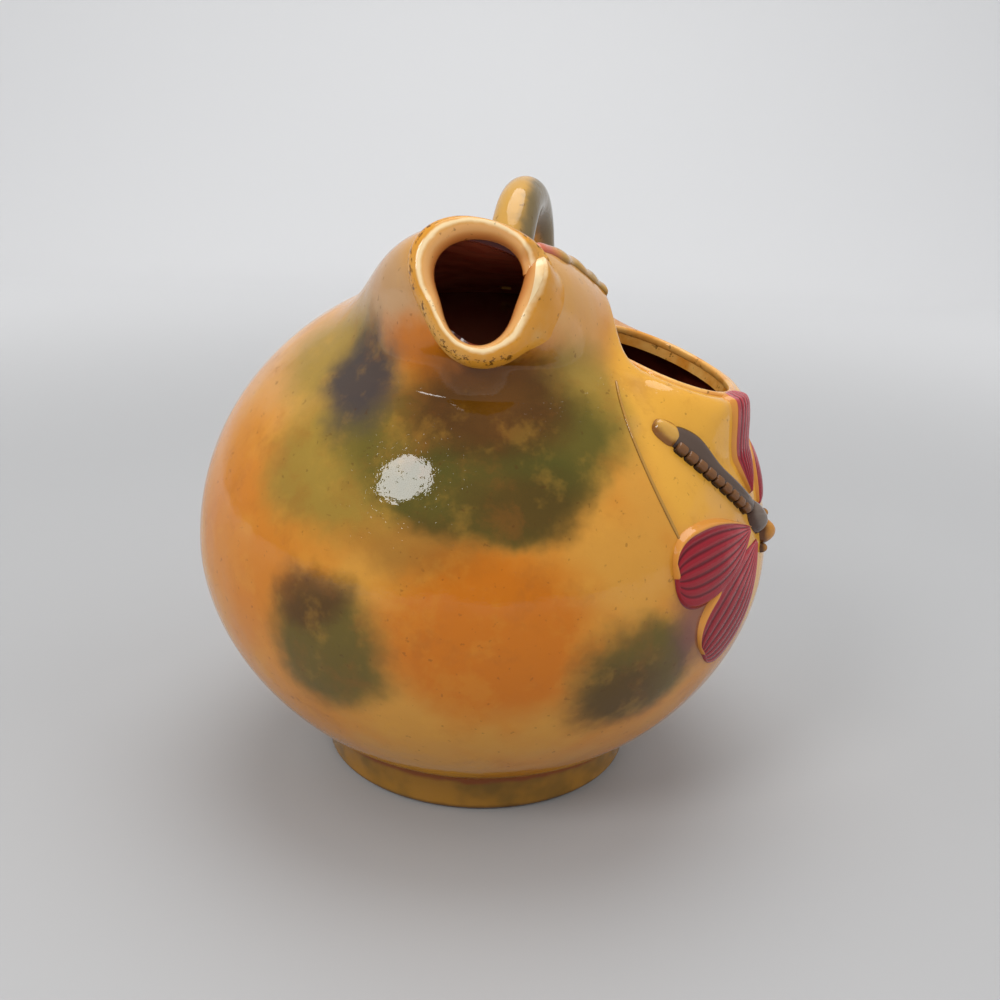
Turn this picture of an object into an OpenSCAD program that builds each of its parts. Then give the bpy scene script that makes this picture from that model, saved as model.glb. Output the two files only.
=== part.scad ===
// Puzzle jug: a glazed earthenware globe with a hooded spout, a side filling opening, a hollow handle and a
// relief dragonfly. Millimetres, +Z up. The origin is the middle of the foot on the table. The spout faces
// -Y, the handle stands behind it and the filling opening lies on the +X shoulder.

/* [Globe] */
// Radius of the globe at its widest ring
body_radius = 96; // [88:0.5:106]
// Height of the widest ring above the table
waist_height = 79; // [74:0.5:86]
// Rise from the widest ring to the crown of the globe
crown_rise = 89.6; // [84:0.1:98]
// How far below the table the globe's lower curve would close
base_sink = 4.6; // [2:0.1:9]
// Fullness of the lower curve, where 2 is an ellipse
base_power = 1.86; // [1.7:0.01:2.1]
// Thickness of the clay wall
wall = 5; // [4:0.1:6.5]
// Height of the joint between the bowl and the shoulder, above the widest ring
joint_rise = 39; // [32:0.5:44]
// Thickness of the floor
floor_thickness = 6; // [4:0.5:9]

/* [Foot] */
// Height of the foot ring where it meets the bowl
foot_height = 13; // [11:0.5:16]
// Outer radius of the foot ring on the table
foot_radius = 53.5; // [50:0.5:56]
// Width of the foot ring
foot_width = 11; // [9:0.5:13]
// Round on the foot's outer lower edge
foot_round = 2.5; // [1:0.1:4]
// Height of the bowl's underside inside the foot ring
foot_recess = 8; // [6:0.5:9]

/* [Spout] */
// Outer radius of the neck at the mouth
mouth_radius = 19.5; // [17:0.1:22]
// Distance of the mouth's middle behind the front of the globe
mouth_setback = 32; // [28:0.5:36]
// Height of the mouth's middle above the crown of the globe
mouth_rise = 4; // [0:0.1:9]
// Sideways place of the mouth's middle
mouth_shift = -3.5; // [-6:0.1:2]
// Upward tilt of the mouth
mouth_tilt = 22; // [14:0.5:30]
// Depth of the neck's foot below the crown, on the flanks
neck_drop = 11.6; // [9:0.1:16]
// Forward slope of the neck's foot
neck_slope = 0.22; // [0.12:0.01:0.28]
// Width of the coil round the mouth
lip_width = 7.6; // [6:0.1:9]
// Height of that coil in front of the mouth
lip_height = 5.5; // [4:0.1:7]
// Height of the partition's top below the crown
partition_drop = 14.5; // [12:0.1:18]
// Thickness of the partition
partition_thickness = 4; // [3:0.1:6]

/* [Filling opening] */
// Distance of the opening's middle inside the right side of the globe
filler_inset = 39; // [35:0.5:43]
// Place of the opening's middle, from the middle plane towards the handle
filler_shift = -5; // [-10:0.5:4]
// Depth of the opening's middle below the crown
filler_drop = 26; // [23:0.1:29]
// Outward tilt of the opening's plane
filler_tilt = 18.5; // [15:0.1:23]
// Half of the opening's length down the slope
filler_half_slope = 23.5; // [19:0.5:26]
// Half of the opening's width, front to back
filler_half_width = 36; // [30:0.5:39]
// Width of the rounded edge round the opening
rim_width = 3.6; // [2.5:0.1:5]
// Height of that edge
rim_height = 1.4; // [0.8:0.1:3]

/* [Handle] */
// Outside diameter of the hollow handle
handle_diameter = 16; // [13:0.5:19]
// Bore of the hidden passage
bore_diameter = 6; // [4:0.2:8]
// Turn of the handle from straight behind the spout
handle_turn = 9.5; // [2:0.5:17]
// Height of the handle's middle line above the crown
handle_rise = 17.9; // [14:0.1:23]
// Reach of the handle's middle line beyond the globe
handle_reach = 12.9; // [11:0.1:18]
// Radius of the handle's upper bend
handle_bend = 40; // [37:0.5:44]
// Height of the handle's lower root above the widest ring
lower_root_rise = 18; // [14:0.5:24]
// Spread of the clay collars at the handle's roots
collar_spread = 7; // [4:0.1:9]
// Length of those collars along the handle
collar_length = 15; // [12:0.5:18]
// Diameter of the finger vent under the handle
vent_diameter = 3.5; // [2.5:0.1:5]

/* [Draw tube] */
// Outside diameter of the draw tube inside the jug
tube_diameter = 12; // [10:0.5:14]
// Distance of the tube's lower end from the wall beside it
tube_foot_inset = 15; // [13:0.5:20]
// Height of the tube's lower end above the floor
tube_foot_height = 8; // [7:0.5:12]
// Diameter of the clay saddle under the tube
saddle_diameter = 16; // [14:0.5:20]

/* [Dragonfly] */
// Angle of the thorax round the globe, from the filling opening's side
fly_turn = -24.5; // [-30:0.5:-19]
// Height of the thorax above the widest ring
fly_rise = 21.5; // [17:0.5:25]
// Length of the abdomen from thorax to tail
abdomen_length = 56.5; // [50:0.5:62]
// Climb of the abdomen, from level
abdomen_climb = 38.5; // [33:0.5:44]
// Width of the abdomen's smooth upper side
abdomen_width = 5.6; // [4:0.1:7]
// Height of the abdomen and of the thorax over the skin
body_relief = 3.4; // [2.4:0.1:4.4]
// Length of the thorax
thorax_length = 14; // [11:0.5:17]
// Width of the thorax
thorax_width = 10; // [8:0.5:12]
// Length and width of the head
head_length = 9; // [7:0.5:11]
// Length of the tail tip
tail_length = 9; // [6:0.5:12]
// Length of the lower hind wing
lower_hind_length = 44; // [38:0.5:48]
// Width of the lower hind wing
lower_hind_width = 23; // [19:0.5:25]
// Angle of the lower hind wing from level
lower_hind_angle = -6; // [-10:0.5:-2]
// Length of the lower fore wing
lower_fore_length = 44; // [39:0.5:49]
// Width of the lower fore wing
lower_fore_width = 24; // [20:0.5:25]
// Angle of the lower fore wing from level
lower_fore_angle = -44; // [-51:0.5:-41]
// Length of the upper hind wing
upper_hind_length = 26; // [22:0.5:27]
// Width of the upper hind wing
upper_hind_width = 18; // [14:0.5:20]
// Angle of the upper hind wing from level
upper_hind_angle = 110; // [106:0.5:114]
// Length of the upper fore wing
upper_fore_length = 30; // [26:0.5:33]
// Width of the upper fore wing
upper_fore_width = 15; // [12:0.5:16]
// Angle of the upper fore wing from level
upper_fore_angle = 156; // [152:0.5:162]
// Height of the wings over the skin
wing_relief = 1.4; // [0.8:0.1:2]
// Width of the slip line at the panel's edge
line_width = 1.6; // [1:0.1:3]

/* [Hidden] */
// Gap between a relief piece and the skin that carries it
seat_gap = 0.4;
// How far a cut runs past the face that it opens
cut_margin = 1;
// Steps of the turned profiles and the hand-formed skins
bowl_steps = 34;
foot_steps = 4;
hood_sides = 60;
shoulder_rows = 8;
neck_rows = 15;
hole_sides = 45;
// How the neck leaves the globe and runs into the mouth, in degrees and in shares of its own length
neck_lean = 45;
flank_left = 52;
flank_right = 42;
flank_top = 6;
flank_low = -35;
neck_pull = 0.5;
// The flat land beside the filling opening and how far the wall bends to reach it: narrow towards the neck,
// whose side is turned forward from straight inward, and wide away from it
land_margin = 2;
land_width = rim_width + land_margin;
bend_wide = 17;
bend_narrow = 7;
bend_start = 10;
narrow_turn = 25;
land_from = -0.9;
land_fade = 0.5;
thick_from = 0.2;
thick_fade = 0.8;

crown = waist_height + crown_rise;
base_drop = waist_height + base_sink;
joint_z = waist_height + joint_rise;
floor_z = foot_recess + floor_thickness;
neck_base_z = crown - neck_drop;
mouth = [mouth_shift, mouth_setback - body_radius, crown + mouth_rise];
mouth_out = [0, -cos(mouth_tilt), sin(mouth_tilt)];
mouth_up = [0, sin(mouth_tilt), cos(mouth_tilt)];
lip_radius = mouth_radius - wall / 2;
filler = [body_radius - filler_inset, filler_shift, crown - filler_drop];
filler_out = [sin(filler_tilt), 0, cos(filler_tilt)];
filler_down = [cos(filler_tilt), 0, -sin(filler_tilt)];
filler_level = filler * filler_out;
partition_z = crown - partition_drop;
partition_slope = 2;
handle_radius = handle_diameter / 2;
bore_radius = bore_diameter / 2;
reach = body_radius + handle_reach;
bend_z = crown + handle_rise - handle_bend;
lower_root_z = waist_height + lower_root_rise;
fly_z = waist_height + fly_rise;
$fn = 72;

function unit(v) = v / norm(v);
function ease(t) = let (c = min(1, max(0, t))) c * c * (3 - 2 * c);

// Radius of the globe at height z, for a skin set in by w: half an ellipse above the waist and a fuller
// curve below it
function globe_r(z, w = 0) = z >= waist_height
    ? (body_radius - w) * sqrt(max(0, 1 - pow((z - waist_height) / (crown_rise - w), 2)))
    : (body_radius - w)
        * pow(max(0, 1 - pow((waist_height - z) / (base_drop - w), base_power)), 1 / base_power);

// Outward direction of the globe at angle phi and height z
function globe_out(phi, z) = let (
        low = z < waist_height,
        p = low ? base_power : 2,
        side = pow(globe_r(z) / body_radius, p - 1) / body_radius,
        drop = low ? base_drop : crown_rise,
        up = pow(abs(z - waist_height) / drop, p - 1) / drop * (low ? -1 : 1))
    unit([side * cos(phi), side * sin(phi), up]);

// Presses the wall flat round the filling opening: a point near its edge moves along the opening's axis
// to the opening's plane, and the move fades out over the bend's width and towards the joint. The inner skin
// keeps the wall's thickness where the wall stands up towards the neck.
function pressed(p, w = 0) = let (
        d = p - filler,
        s = d * filler_down,
        span = norm([s, d.y]),
        e = norm([s / filler_half_slope, d.y / filler_half_width]),
        gap = e > 1 ? span * (1 - 1 / e) : 0,
        face = span > 0 ? (s * cos(narrow_turn) + d.y * sin(narrow_turn)) / span : 1,
        land = land_width * ease((face - land_from) / land_fade) + w * ease((thick_from - face) / thick_fade),
        bend = bend_narrow + (bend_wide - bend_narrow) * (face + 1) / 2,
        share = ease(1 - (gap - land) / bend) * ease((p.z - joint_z) / bend_start))
    p + filler_out * (share * (filler_level - w - p * filler_out));

// The tilted ring on the globe where the neck starts
function neck_foot(phi, w) = let (
        a = body_radius - w,
        b = crown_rise - w,
        h = neck_base_z - waist_height,
        k = neck_slope * sin(phi),
        qa = 1 / (a * a) + k * k / (b * b),
        qb = 2 * h * k / (b * b),
        qc = h * h / (b * b) - 1,
        rho = (sqrt(qb * qb - 4 * qa * qc) - qb) / (2 * qa))
    [rho * cos(phi), rho * sin(phi), neck_base_z + k * rho];

// The neck's skin: a cubic from its foot on the globe to the mouth's ring, leaving along the globe
// and arriving at the flank's angle to the mouth's axis
function neck_point(phi, v, w) = let (
        q = neck_foot(phi, w),
        climb = unit([-(q.z - waist_height) / pow(crown_rise - w, 2),
            norm([q.x, q.y]) / pow(body_radius - w, 2)]),
        lean = -sin(neck_lean) * cos(phi),
        leave = [climb.x * cos(phi), climb.x * sin(phi), climb.y] * sqrt(1 - lean * lean)
            + [-sin(phi), cos(phi), 0] * lean,
        ray = [1, 0, 0] * cos(phi) + mouth_up * sin(phi),
        m = mouth + ray * (mouth_radius - w),
        turn = (cos(phi) > 0 ? flank_right : flank_left) * pow(cos(phi), 2)
            + (sin(phi) > 0 ? flank_top : flank_low) * pow(sin(phi), 2),
        arrive = mouth_out * cos(turn) - ray * sin(turn),
        length = norm(m - q),
        v2 = v * v,
        v3 = v2 * v)
    pressed(q * (2 * v3 - 3 * v2 + 1) + leave * (length * neck_pull * (v3 - 2 * v2 + v))
        + m * (3 * v2 - 2 * v3) + arrive * (length * (v3 - v2)), w);

// The shoulder's skin between the joint and the neck's foot
function shoulder_point(phi, u, w) = let (
        z = joint_z + (neck_foot(phi, w).z - joint_z) * u,
        r = globe_r(z, w))
    pressed([r * cos(phi), r * sin(phi), z], w);

function hood_rings(w) = [
    for (i = [0 : shoulder_rows - 1]) [for (j = [0 : hood_sides - 1])
        shoulder_point(j * 360 / hood_sides, i / shoulder_rows, w)],
    for (i = [0 : neck_rows]) [for (j = [0 : hood_sides - 1])
        neck_point(j * 360 / hood_sides, i / neck_rows, w)]];

function reversed(list) = [for (i = [len(list) - 1 : -1 : 0]) list[i]];

// Triangles between neighbouring rings of n points
function ring_sides(m, n, closed) = [
    for (i = [0 : closed ? m - 1 : m - 2], j = [0 : n - 1]) let (
            a = i * n + j,
            b = i * n + (j + 1) % n,
            c = (a + n) % (m * n),
            d = (b + n) % (m * n))
        each [[a, c, b], [b, c, d]]];

// A solid skinned over a stack of rings, with flat ends
module ring_stack(rings) {
    n = len(rings[0]);
    m = len(rings);
    ends = [[for (j = [0 : n - 1]) j], [for (j = [n - 1 : -1 : 0]) (m - 1) * n + j]];
    polyhedron([for (r = rings) each r], concat(ends, ring_sides(m, n, false)), convexity = 8);
}

// A solid skinned over rings that close on themselves
module ring_loop(rings) {
    polyhedron([for (r = rings) each r], ring_sides(len(rings), len(rings[0]), true), convexity = 8);
}

// The bowl's outer profile from the underside up to the joint
bowl_outer = concat(
    [for (i = [0 : foot_steps - 1]) let (z = foot_recess + (foot_height - foot_recess) * i / foot_steps)
        [globe_r(z), z]],
    [for (i = [0 : bowl_steps]) let (z = foot_height + (joint_z - foot_height) * i / bowl_steps)
        [globe_r(z), z]]);
bowl_inner = [for (i = [0 : bowl_steps]) let (z = floor_z + (joint_z - floor_z) * i / bowl_steps)
    [globe_r(z, wall), z]];

module globe_solid() rotate_extrude() polygon(concat([[0, foot_recess]], bowl_outer, [[0, joint_z]]));
module globe_inside() rotate_extrude() polygon(concat([[0, floor_z]], bowl_inner, [[0, joint_z]]));
module hood_solid() ring_stack(hood_rings(0));
module hood_inside() ring_stack(hood_rings(wall));

// The handle's plane: its first axis runs back from the jug's axis, its second is up
module in_handle_plane() rotate([0, 0, 90 - handle_turn]) rotate([90, 0, 0]) children();

// Where the handle's middle line meets the middle of the bowl's wall, and the lower bend that takes it there
root_low = [globe_r(lower_root_z, wall / 2), lower_root_z];
root_side = reach - root_low.x;
root_fall = bend_z - root_low.y;
low_bend = (root_side * root_side + root_fall * root_fall) / (2 * root_side);
low_sweep = asin(root_fall / low_bend);

// A bend of the handle's middle line with a round section, from its furthest point through an angle
module bend(radius, sweep, section)
    translate([reach - radius, bend_z, 0])
        rotate_extrude(angle = sweep)
            translate([radius, 0])
                circle(section);

// Angle on the upper bend where the handle's middle line meets the middle of the globe's wall, by halving
function bend_point(a) = [reach - handle_bend + handle_bend * cos(a), bend_z + handle_bend * sin(a)];
function root_angle(low, high, halvings = 24) = let (
        mid = (low + high) / 2,
        p = bend_point(mid),
        buried = p.x < globe_r(p.y, wall / 2))
    halvings == 0 ? mid : buried ? root_angle(low, mid, halvings - 1) : root_angle(mid, high, halvings - 1);
root_search = [100, 180];
upper_root_angle = root_angle(root_search[0], root_search[1]);
root_past = 16;
bore_past = 9;

// The whole run of the handle: the upper bend rises over the top, the lower one falls to the bowl
module handle_run(section, past_low = 0) in_handle_plane() {
    bend(handle_bend, upper_root_angle + root_past, section);
    translate([0, 2 * bend_z, 0]) mirror([0, 1, 0]) bend(low_bend, low_sweep + past_low, section);
}

// A flared collar of clay round a root of the handle: a cone on the middle line's own direction there
module root_flare(radius, angle, turn)
    in_handle_plane()
        translate([reach - radius, bend_z, 0])
            rotate([0, 0, angle])
                translate([radius, 0, 0])
                    rotate([turn, 0, 0])
                        cylinder(r1 = handle_radius + collar_spread, r2 = handle_radius, h = collar_length);

foot_inside = foot_radius - foot_width;
foot_chamfer = 1;
module foot_ring() color("darkgoldenrod")
    rotate_extrude()
        polygon(concat(
            [[foot_inside + foot_chamfer, 0]],
            [for (a = [-90 : 15 : 0])
                [foot_radius - foot_round * (1 - cos(a)), foot_round * (1 + sin(a))]],
            reversed([for (i = [0 : foot_steps]) bowl_outer[i]]),
            [[foot_inside, foot_recess], [foot_inside, foot_chamfer]]));

module body_bowl() color("peru")
    difference() {
        globe_solid();
        globe_inside();
        handle_run(bore_radius, bore_past);
    }

module shoulder_hood() color("olive")
    difference() {
        ring_loop(concat(hood_rings(0), reversed(hood_rings(wall))));
        filler_hole();
        handle_run(bore_radius);
    }

// The filling opening: an oval cut along the opening's own axis
module filler_hole()
    translate(filler)
        rotate([0, filler_tilt, 0])
            linear_extrude(height = filler_half_width, center = true)
                polygon([for (i = [0 : hole_sides - 1]) let (a = 360 * i / hole_sides)
                    [filler_half_slope * cos(a), filler_half_width * sin(a)]]);

// The partition that closes the spout's chamber off from the jug below it
module spout_floor() color("saddlebrown")
    intersection() {
        hood_inside();
        translate([0, 0, partition_z - partition_thickness])
            rotate([partition_slope, 0, 0])
                translate([-body_radius, -body_radius, 0])
                    cube([2 * body_radius, 2 * body_radius, partition_thickness]);
    }

// A rounded end for a strip: its full size along most of the way, and a stub of it at the ends (t = -1 and 1)
end_stub = 0.03;
function strip_end(t, power) = sqrt(max(end_stub, 1 - pow(abs(t), power)));

// A half-round section at an angle round the mouth: its crest lies at a radius, with a width on either side,
// and its base is lifted off the mouth's plane
lip_sides = 9;
function lip_section(angle, radius, inside, outside, height, lift = 0) = let (
        ray = [1, 0, 0] * cos(angle) + mouth_up * sin(angle))
    [for (i = [0 : lip_sides]) let (a = 180 * i / lip_sides, width = cos(a) > 0 ? outside : inside)
        mouth + ray * (radius + cos(a) * width) + mouth_out * (lift + sin(a) * height)];

// The coil on the mouth's edge: from behind the fold's tip round the top, the left side and the bottom to the
// fold's start. Its first stretch is drawn thin to pass behind the fold.
fold_start = -60;
fold_tip = 28;
lip_lap = 10;
lip_turns = 44;
tuck_turn = 16;
tuck_thin = 0.6;
half_lip = lip_width / 2;
module spout_lip() color("burlywood")
    ring_stack([for (i = [0 : lip_turns]) let (
            angle = fold_tip - lip_lap + (360 + fold_start - fold_tip + lip_lap) * i / lip_turns,
            tuck = ease(1 - (angle - fold_tip) / tuck_turn))
        lip_section(angle, lip_radius, half_lip, half_lip, lip_height * (1 - tuck_thin * tuck))]);

// The fold on the mouth's right side: the coil carried on, crossing the mouth's edge inward and lifting
// forward over the coil's thin end to a rounded tip
fold_turns = 24;
fold_inward = 3.6;
fold_merge = 1;
fold_round = 14;
fold_lift = lip_height * (1 - tuck_thin) + seat_gap;
lift_from = 0.45;
lift_run = 0.35;
module lip_fold() color("tan")
    ring_stack([for (i = [0 : fold_turns]) let (
            t = i / fold_turns,
            angle = fold_start + (fold_tip - fold_start) * t,
            tip = strip_end(t, fold_round),
            swing = sin(180 * t))
        lip_section(angle, lip_radius - fold_inward * swing, half_lip * tip,
            (half_lip + (fold_inward - fold_merge) * swing) * tip, lip_height * tip,
            fold_lift * ease((t - lift_from) / lift_run))]);

// The outward direction of the neck's skin, from its slopes round the neck and along it
slope_turn = 1;
slope_step = 0.01;
function neck_out(phi, v) = let (
        a = neck_point(phi + slope_turn, v, 0) - neck_point(phi - slope_turn, v, 0),
        b = neck_point(phi, v + slope_step, 0) - neck_point(phi, v - slope_step, 0))
    unit(cross(a, b));

// The pinched seam down the neck's right flank, from the coil's tucked end to the filling opening
seam_stations = 30;
seam_sides = 6;
seam_pinches = 5;
seam_pinch = 0.18;
seam_width = 6.5;
seam_height = 3;
seam_turn = [38, 8];
seam_climb = [0.965, 0.3];
seam_round = 8;
function seam_at(t) = neck_point(seam_turn[0] + (seam_turn[1] - seam_turn[0]) * t,
    seam_climb[0] + (seam_climb[1] - seam_climb[0]) * t, 0);
function seam_out(t) = neck_out(seam_turn[0] + (seam_turn[1] - seam_turn[0]) * t,
    seam_climb[0] + (seam_climb[1] - seam_climb[0]) * t);
module crimped_seam() color("wheat")
    ring_stack([for (i = [0 : seam_stations]) let (
            t = i / seam_stations,
            out = seam_out(t),
            side = cross(out, unit(seam_at(t + slope_step) - seam_at(t - slope_step))),
            pinch = 1 - seam_pinch + seam_pinch * cos(360 * seam_pinches * t),
            size = pinch * strip_end(2 * t - 1, seam_round))
        [for (j = [0 : seam_sides]) let (a = 180 * j / seam_sides)
            seam_at(t) + out * (seat_gap + sin(a) * seam_height * size)
                + side * (cos(a) * seam_width / 2 * size)]]);

// The bead on the filling opening's edge, open towards the neck
rim_reach = 140;
rim_stations = 44;
rim_sides = 6;
rim_round = 10;
module filler_rim() color("goldenrod")
    ring_stack([for (i = [0 : rim_stations]) let (
            t = 1 - 2 * i / rim_stations,
            a = rim_reach * t,
            size = strip_end(t, rim_round),
            ray = unit([cos(a) / filler_half_slope, sin(a) / filler_half_width]),
            edge = filler + filler_down * (filler_half_slope * cos(a)) + [0, filler_half_width * sin(a), 0],
            out = filler_down * ray.x + [0, ray.y, 0])
        [for (j = [0 : rim_sides]) let (b = 180 * j / rim_sides)
            edge + out * (rim_width * (1 - cos(b) * size) / 2)
                + filler_out * (seat_gap + rim_height * sin(b) * size)]]);

vent_angle = 100;
module handle() color("darkkhaki")
    difference() {
        handle_run(handle_radius);
        handle_run(bore_radius, bore_past);
        hood_solid();
        globe_solid();
        in_handle_plane()
            translate([reach - handle_bend, bend_z, 0])
                rotate([0, 0, vent_angle])
                    translate([handle_bend - handle_radius - cut_margin, 0, 0])
                        rotate([0, 90, 0])
                            cylinder(d = vent_diameter, h = handle_radius + cut_margin);
    }

module handle_collar_top() color("olivedrab")
    difference() {
        root_flare(handle_bend, upper_root_angle, 90);
        handle_run(handle_radius);
        hood_solid();
    }

module handle_collar_low() color("olivedrab")
    difference() {
        root_flare(low_bend, -low_sweep, -90);
        handle_run(handle_radius, bore_past);
        globe_solid();
    }

tube_foot_z = floor_z + tube_foot_height;
tube_end = [globe_r(tube_foot_z, wall) - tube_foot_inset, tube_foot_z];
tube_length = norm(tube_end - root_low);
module along_tube()
    in_handle_plane()
        translate([root_low.x, root_low.y, 0])
            rotate([0, 0, atan2(tube_end.y - root_low.y, tube_end.x - root_low.x)])
                rotate([0, 90, 0])
                    children();

module draw_tube() color("sienna")
    intersection() {
        globe_inside();
        along_tube()
            difference() {
                cylinder(d = tube_diameter, h = tube_length);
                translate([0, 0, -cut_margin]) cylinder(d = bore_diameter, h = tube_length + 2 * cut_margin);
            }
    }

module tube_saddle() color("sienna")
    difference() {
        intersection() {
            globe_inside();
            rotate([0, 0, 90 - handle_turn])
                translate([tube_end.x + saddle_diameter / 2, 0, 0])
                    cylinder(d = saddle_diameter, h = tube_end.y + tube_diameter / 2);
        }
        along_tube() cylinder(d = tube_diameter, h = tube_length + tube_diameter);
    }

// A point over the globe's skin: u runs forward round the globe from the thorax, v runs up, h is the height
function fly_point(u, v, h) = let (
        phi = fly_turn - u / body_radius * 180 / PI,
        z = fly_z + v,
        r = globe_r(z))
    pressed([r * cos(phi), r * sin(phi), z]) + globe_out(phi, z) * h;

// A relief piece pressed in a mould: it runs from a to b, swells to its full width at the share "widest"
// of its length, and is domed across over a thin edge
sprig_edge = 0.25;
sprig_end = 0.485;
sprig_gap = 0.3;
module sprig(a, b, width, relief, widest = 0.5, blunt = 2, steps = 10, sides = 6)
    ring_stack([for (i = [0 : steps]) let (
            t = 0.5 - sprig_end * cos(180 * i / steps),
            skew = pow(t, ln(0.5) / ln(widest)),
            full = pow(1 - pow(abs(2 * skew - 1), blunt), 1 / blunt),
            mid = a + (b - a) * t,
            across = [a.y - b.y, b.x - a.x] / norm(b - a) * (width / 2 * full))
        concat(
            [for (j = [0 : sides]) let (c = 2 * j / sides - 1, q = mid + across * c)
                fly_point(q.x, q.y, seat_gap + sprig_edge + relief * full * (1 - c * c))],
            [for (j = [0 : sides]) let (c = 1 - 2 * j / sides, q = mid + across * c)
                fly_point(q.x, q.y, seat_gap)])]);

// Directions on the skin: along the abdomen towards the tail, and square to it on the lower side
abdomen_line = [cos(abdomen_climb), sin(abdomen_climb)];
abdomen_side = [sin(abdomen_climb), -cos(abdomen_climb)];
half_thorax = thorax_length / 2;

// Blocks side by side along the abdomen's lower side, which leave its smooth upper side off the middle line
ring_pitch = 3.9;
ring_margin = 3;
ring_length = 4.2;
ring_width = 3.6;
ring_relief = 2.2;
abdomen_offset = (ring_length + sprig_gap) / 2;
ring_count = 1 + floor((abdomen_length - tail_length - half_thorax - 2 * ring_margin) / ring_pitch);

module abdomen() color("dimgray")
    let (shift = -abdomen_side * abdomen_offset)
        sprig(shift + abdomen_line * (half_thorax + sprig_gap),
            shift + abdomen_line * (abdomen_length - tail_length - sprig_gap),
            abdomen_width, body_relief, blunt = 5, steps = 16);

module abdomen_rings() color("dimgray")
    for (i = [0 : ring_count - 1])
        let (foot = abdomen_line * (half_thorax + ring_margin + ring_pitch * i)
                + abdomen_side * (abdomen_width / 2 + sprig_gap - abdomen_offset))
            sprig(foot, foot + abdomen_side * ring_length, ring_width, ring_relief, blunt = 3,
                steps = 6, sides = 4);

tail_width = 7.5;
tail_relief = 2.6;
module tail_tip() color("cornsilk")
    sprig(abdomen_line * (abdomen_length - tail_length), abdomen_line * abdomen_length,
        tail_width, tail_relief, widest = 0.35, steps = 8);

thorax_relief = 3.9;
module thorax() color("rosybrown")
    sprig(-abdomen_line * half_thorax, abdomen_line * half_thorax, thorax_width, thorax_relief);

head_relief = 4.6;
module head() color("peru")
    sprig(-abdomen_line * (half_thorax + sprig_gap), -abdomen_line * (half_thorax + sprig_gap + head_length),
        head_length, head_relief, steps = 8);

eye_length = 3;
eye_width = 3.2;
eye_relief = 1.6;
module eyes() color("darkslategray")
    for (side = [-1, 1])
        let (foot = -abdomen_line * (half_thorax + sprig_gap + head_length / 2)
                + abdomen_side * (side * (head_length / 2 + sprig_gap)))
            sprig(foot, foot + abdomen_side * (side * eye_length), eye_width, eye_relief,
                steps = 5, sides = 4);

// A wing from its root beside the thorax, on the lower (1) or the upper (-1) side, out at an angle from level
wing_gap = 0.6;
hind_root = 4;
fore_root = -4.5;
function wing_root(side, along) =
    abdomen_side * (side * (thorax_width / 2 + wing_gap)) + abdomen_line * along;
module wing(side, along, length, angle, width) color("palevioletred")
    let (root = wing_root(side, along))
        sprig(root, root + [cos(angle), sin(angle)] * length, width, wing_relief,
            widest = 0.72, blunt = 2.4, steps = 14);

module wing_lower_hind() wing(1, hind_root, lower_hind_length, lower_hind_angle, lower_hind_width);
module wing_lower_fore() wing(1, fore_root, lower_fore_length, lower_fore_angle, lower_fore_width);
module wing_upper_hind() wing(-1, hind_root, upper_hind_length, upper_hind_angle, upper_hind_width);
module wing_upper_fore() wing(-1, fore_root, upper_fore_length, upper_fore_angle, upper_fore_width);

// Control points of the slip line, forward round the globe and up: two from the tail's end, and its lower end
// from the tip of the lower hind wing
line_start_offset = [6, 10];
line_bend_offset = [18, 0];
line_end_offset = [-5.2, 7.7];
tail_end = abdomen_line * abdomen_length;
hind_tip = wing_root(1, hind_root) + [cos(lower_hind_angle), sin(lower_hind_angle)] * lower_hind_length;
line_from = tail_end + line_start_offset;
line_bend = tail_end + line_bend_offset;
line_to = hind_tip + line_end_offset;
line_stations = 14;
line_relief = 0.65;
// The raised slip line at the edge of the yellow panel: a quadratic curve over the skin
module slip_line() color("saddlebrown")
    ring_stack([for (i = [0 : line_stations]) let (
            t = i / line_stations,
            p = line_from * pow(1 - t, 2) + line_bend * (2 * t * (1 - t)) + line_to * (t * t),
            d = (line_bend - line_from) * (1 - t) + (line_to - line_bend) * t,
            side = [-d.y, d.x] / norm(d) * (line_width / 2))
        [for (c = [-1, -0.5, 0.5, 1]) fly_point(p.x + side.x * c, p.y + side.y * c,
            seat_gap + (abs(c) < 1 ? line_relief : 0))]]);

foot_ring();
body_bowl();
shoulder_hood();
spout_floor();
spout_lip();
lip_fold();
crimped_seam();
filler_rim();
handle();
handle_collar_top();
handle_collar_low();
draw_tube();
tube_saddle();
abdomen();
abdomen_rings();
tail_tip();
thorax();
head();
eyes();
wing_lower_hind();
wing_lower_fore();
wing_upper_hind();
wing_upper_fore();
slip_line();
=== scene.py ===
"""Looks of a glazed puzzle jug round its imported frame, laid out as an add-on that is run as a script."""
import math

import bmesh
import bpy
import numpy as np
from bpy.props import FloatProperty, FloatVectorProperty, PointerProperty
from mathutils import Matrix, Vector


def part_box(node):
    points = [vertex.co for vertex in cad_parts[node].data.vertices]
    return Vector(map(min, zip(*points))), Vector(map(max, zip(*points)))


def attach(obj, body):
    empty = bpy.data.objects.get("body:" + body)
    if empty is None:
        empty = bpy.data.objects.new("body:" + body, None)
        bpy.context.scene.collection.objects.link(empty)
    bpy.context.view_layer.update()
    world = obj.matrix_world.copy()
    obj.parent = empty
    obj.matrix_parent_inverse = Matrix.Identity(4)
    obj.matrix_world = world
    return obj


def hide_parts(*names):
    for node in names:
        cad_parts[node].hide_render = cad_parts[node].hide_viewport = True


bl_info = {
    "name": "Puzzle Jug",
    "version": (1, 0, 0),
    "blender": (4, 5, 0),
    "location": "3D View > Sidebar > Jug",
    "description": "Builds a glazed puzzle jug with a relief dragonfly round its packed frame",
    "category": "Object",
}

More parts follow.
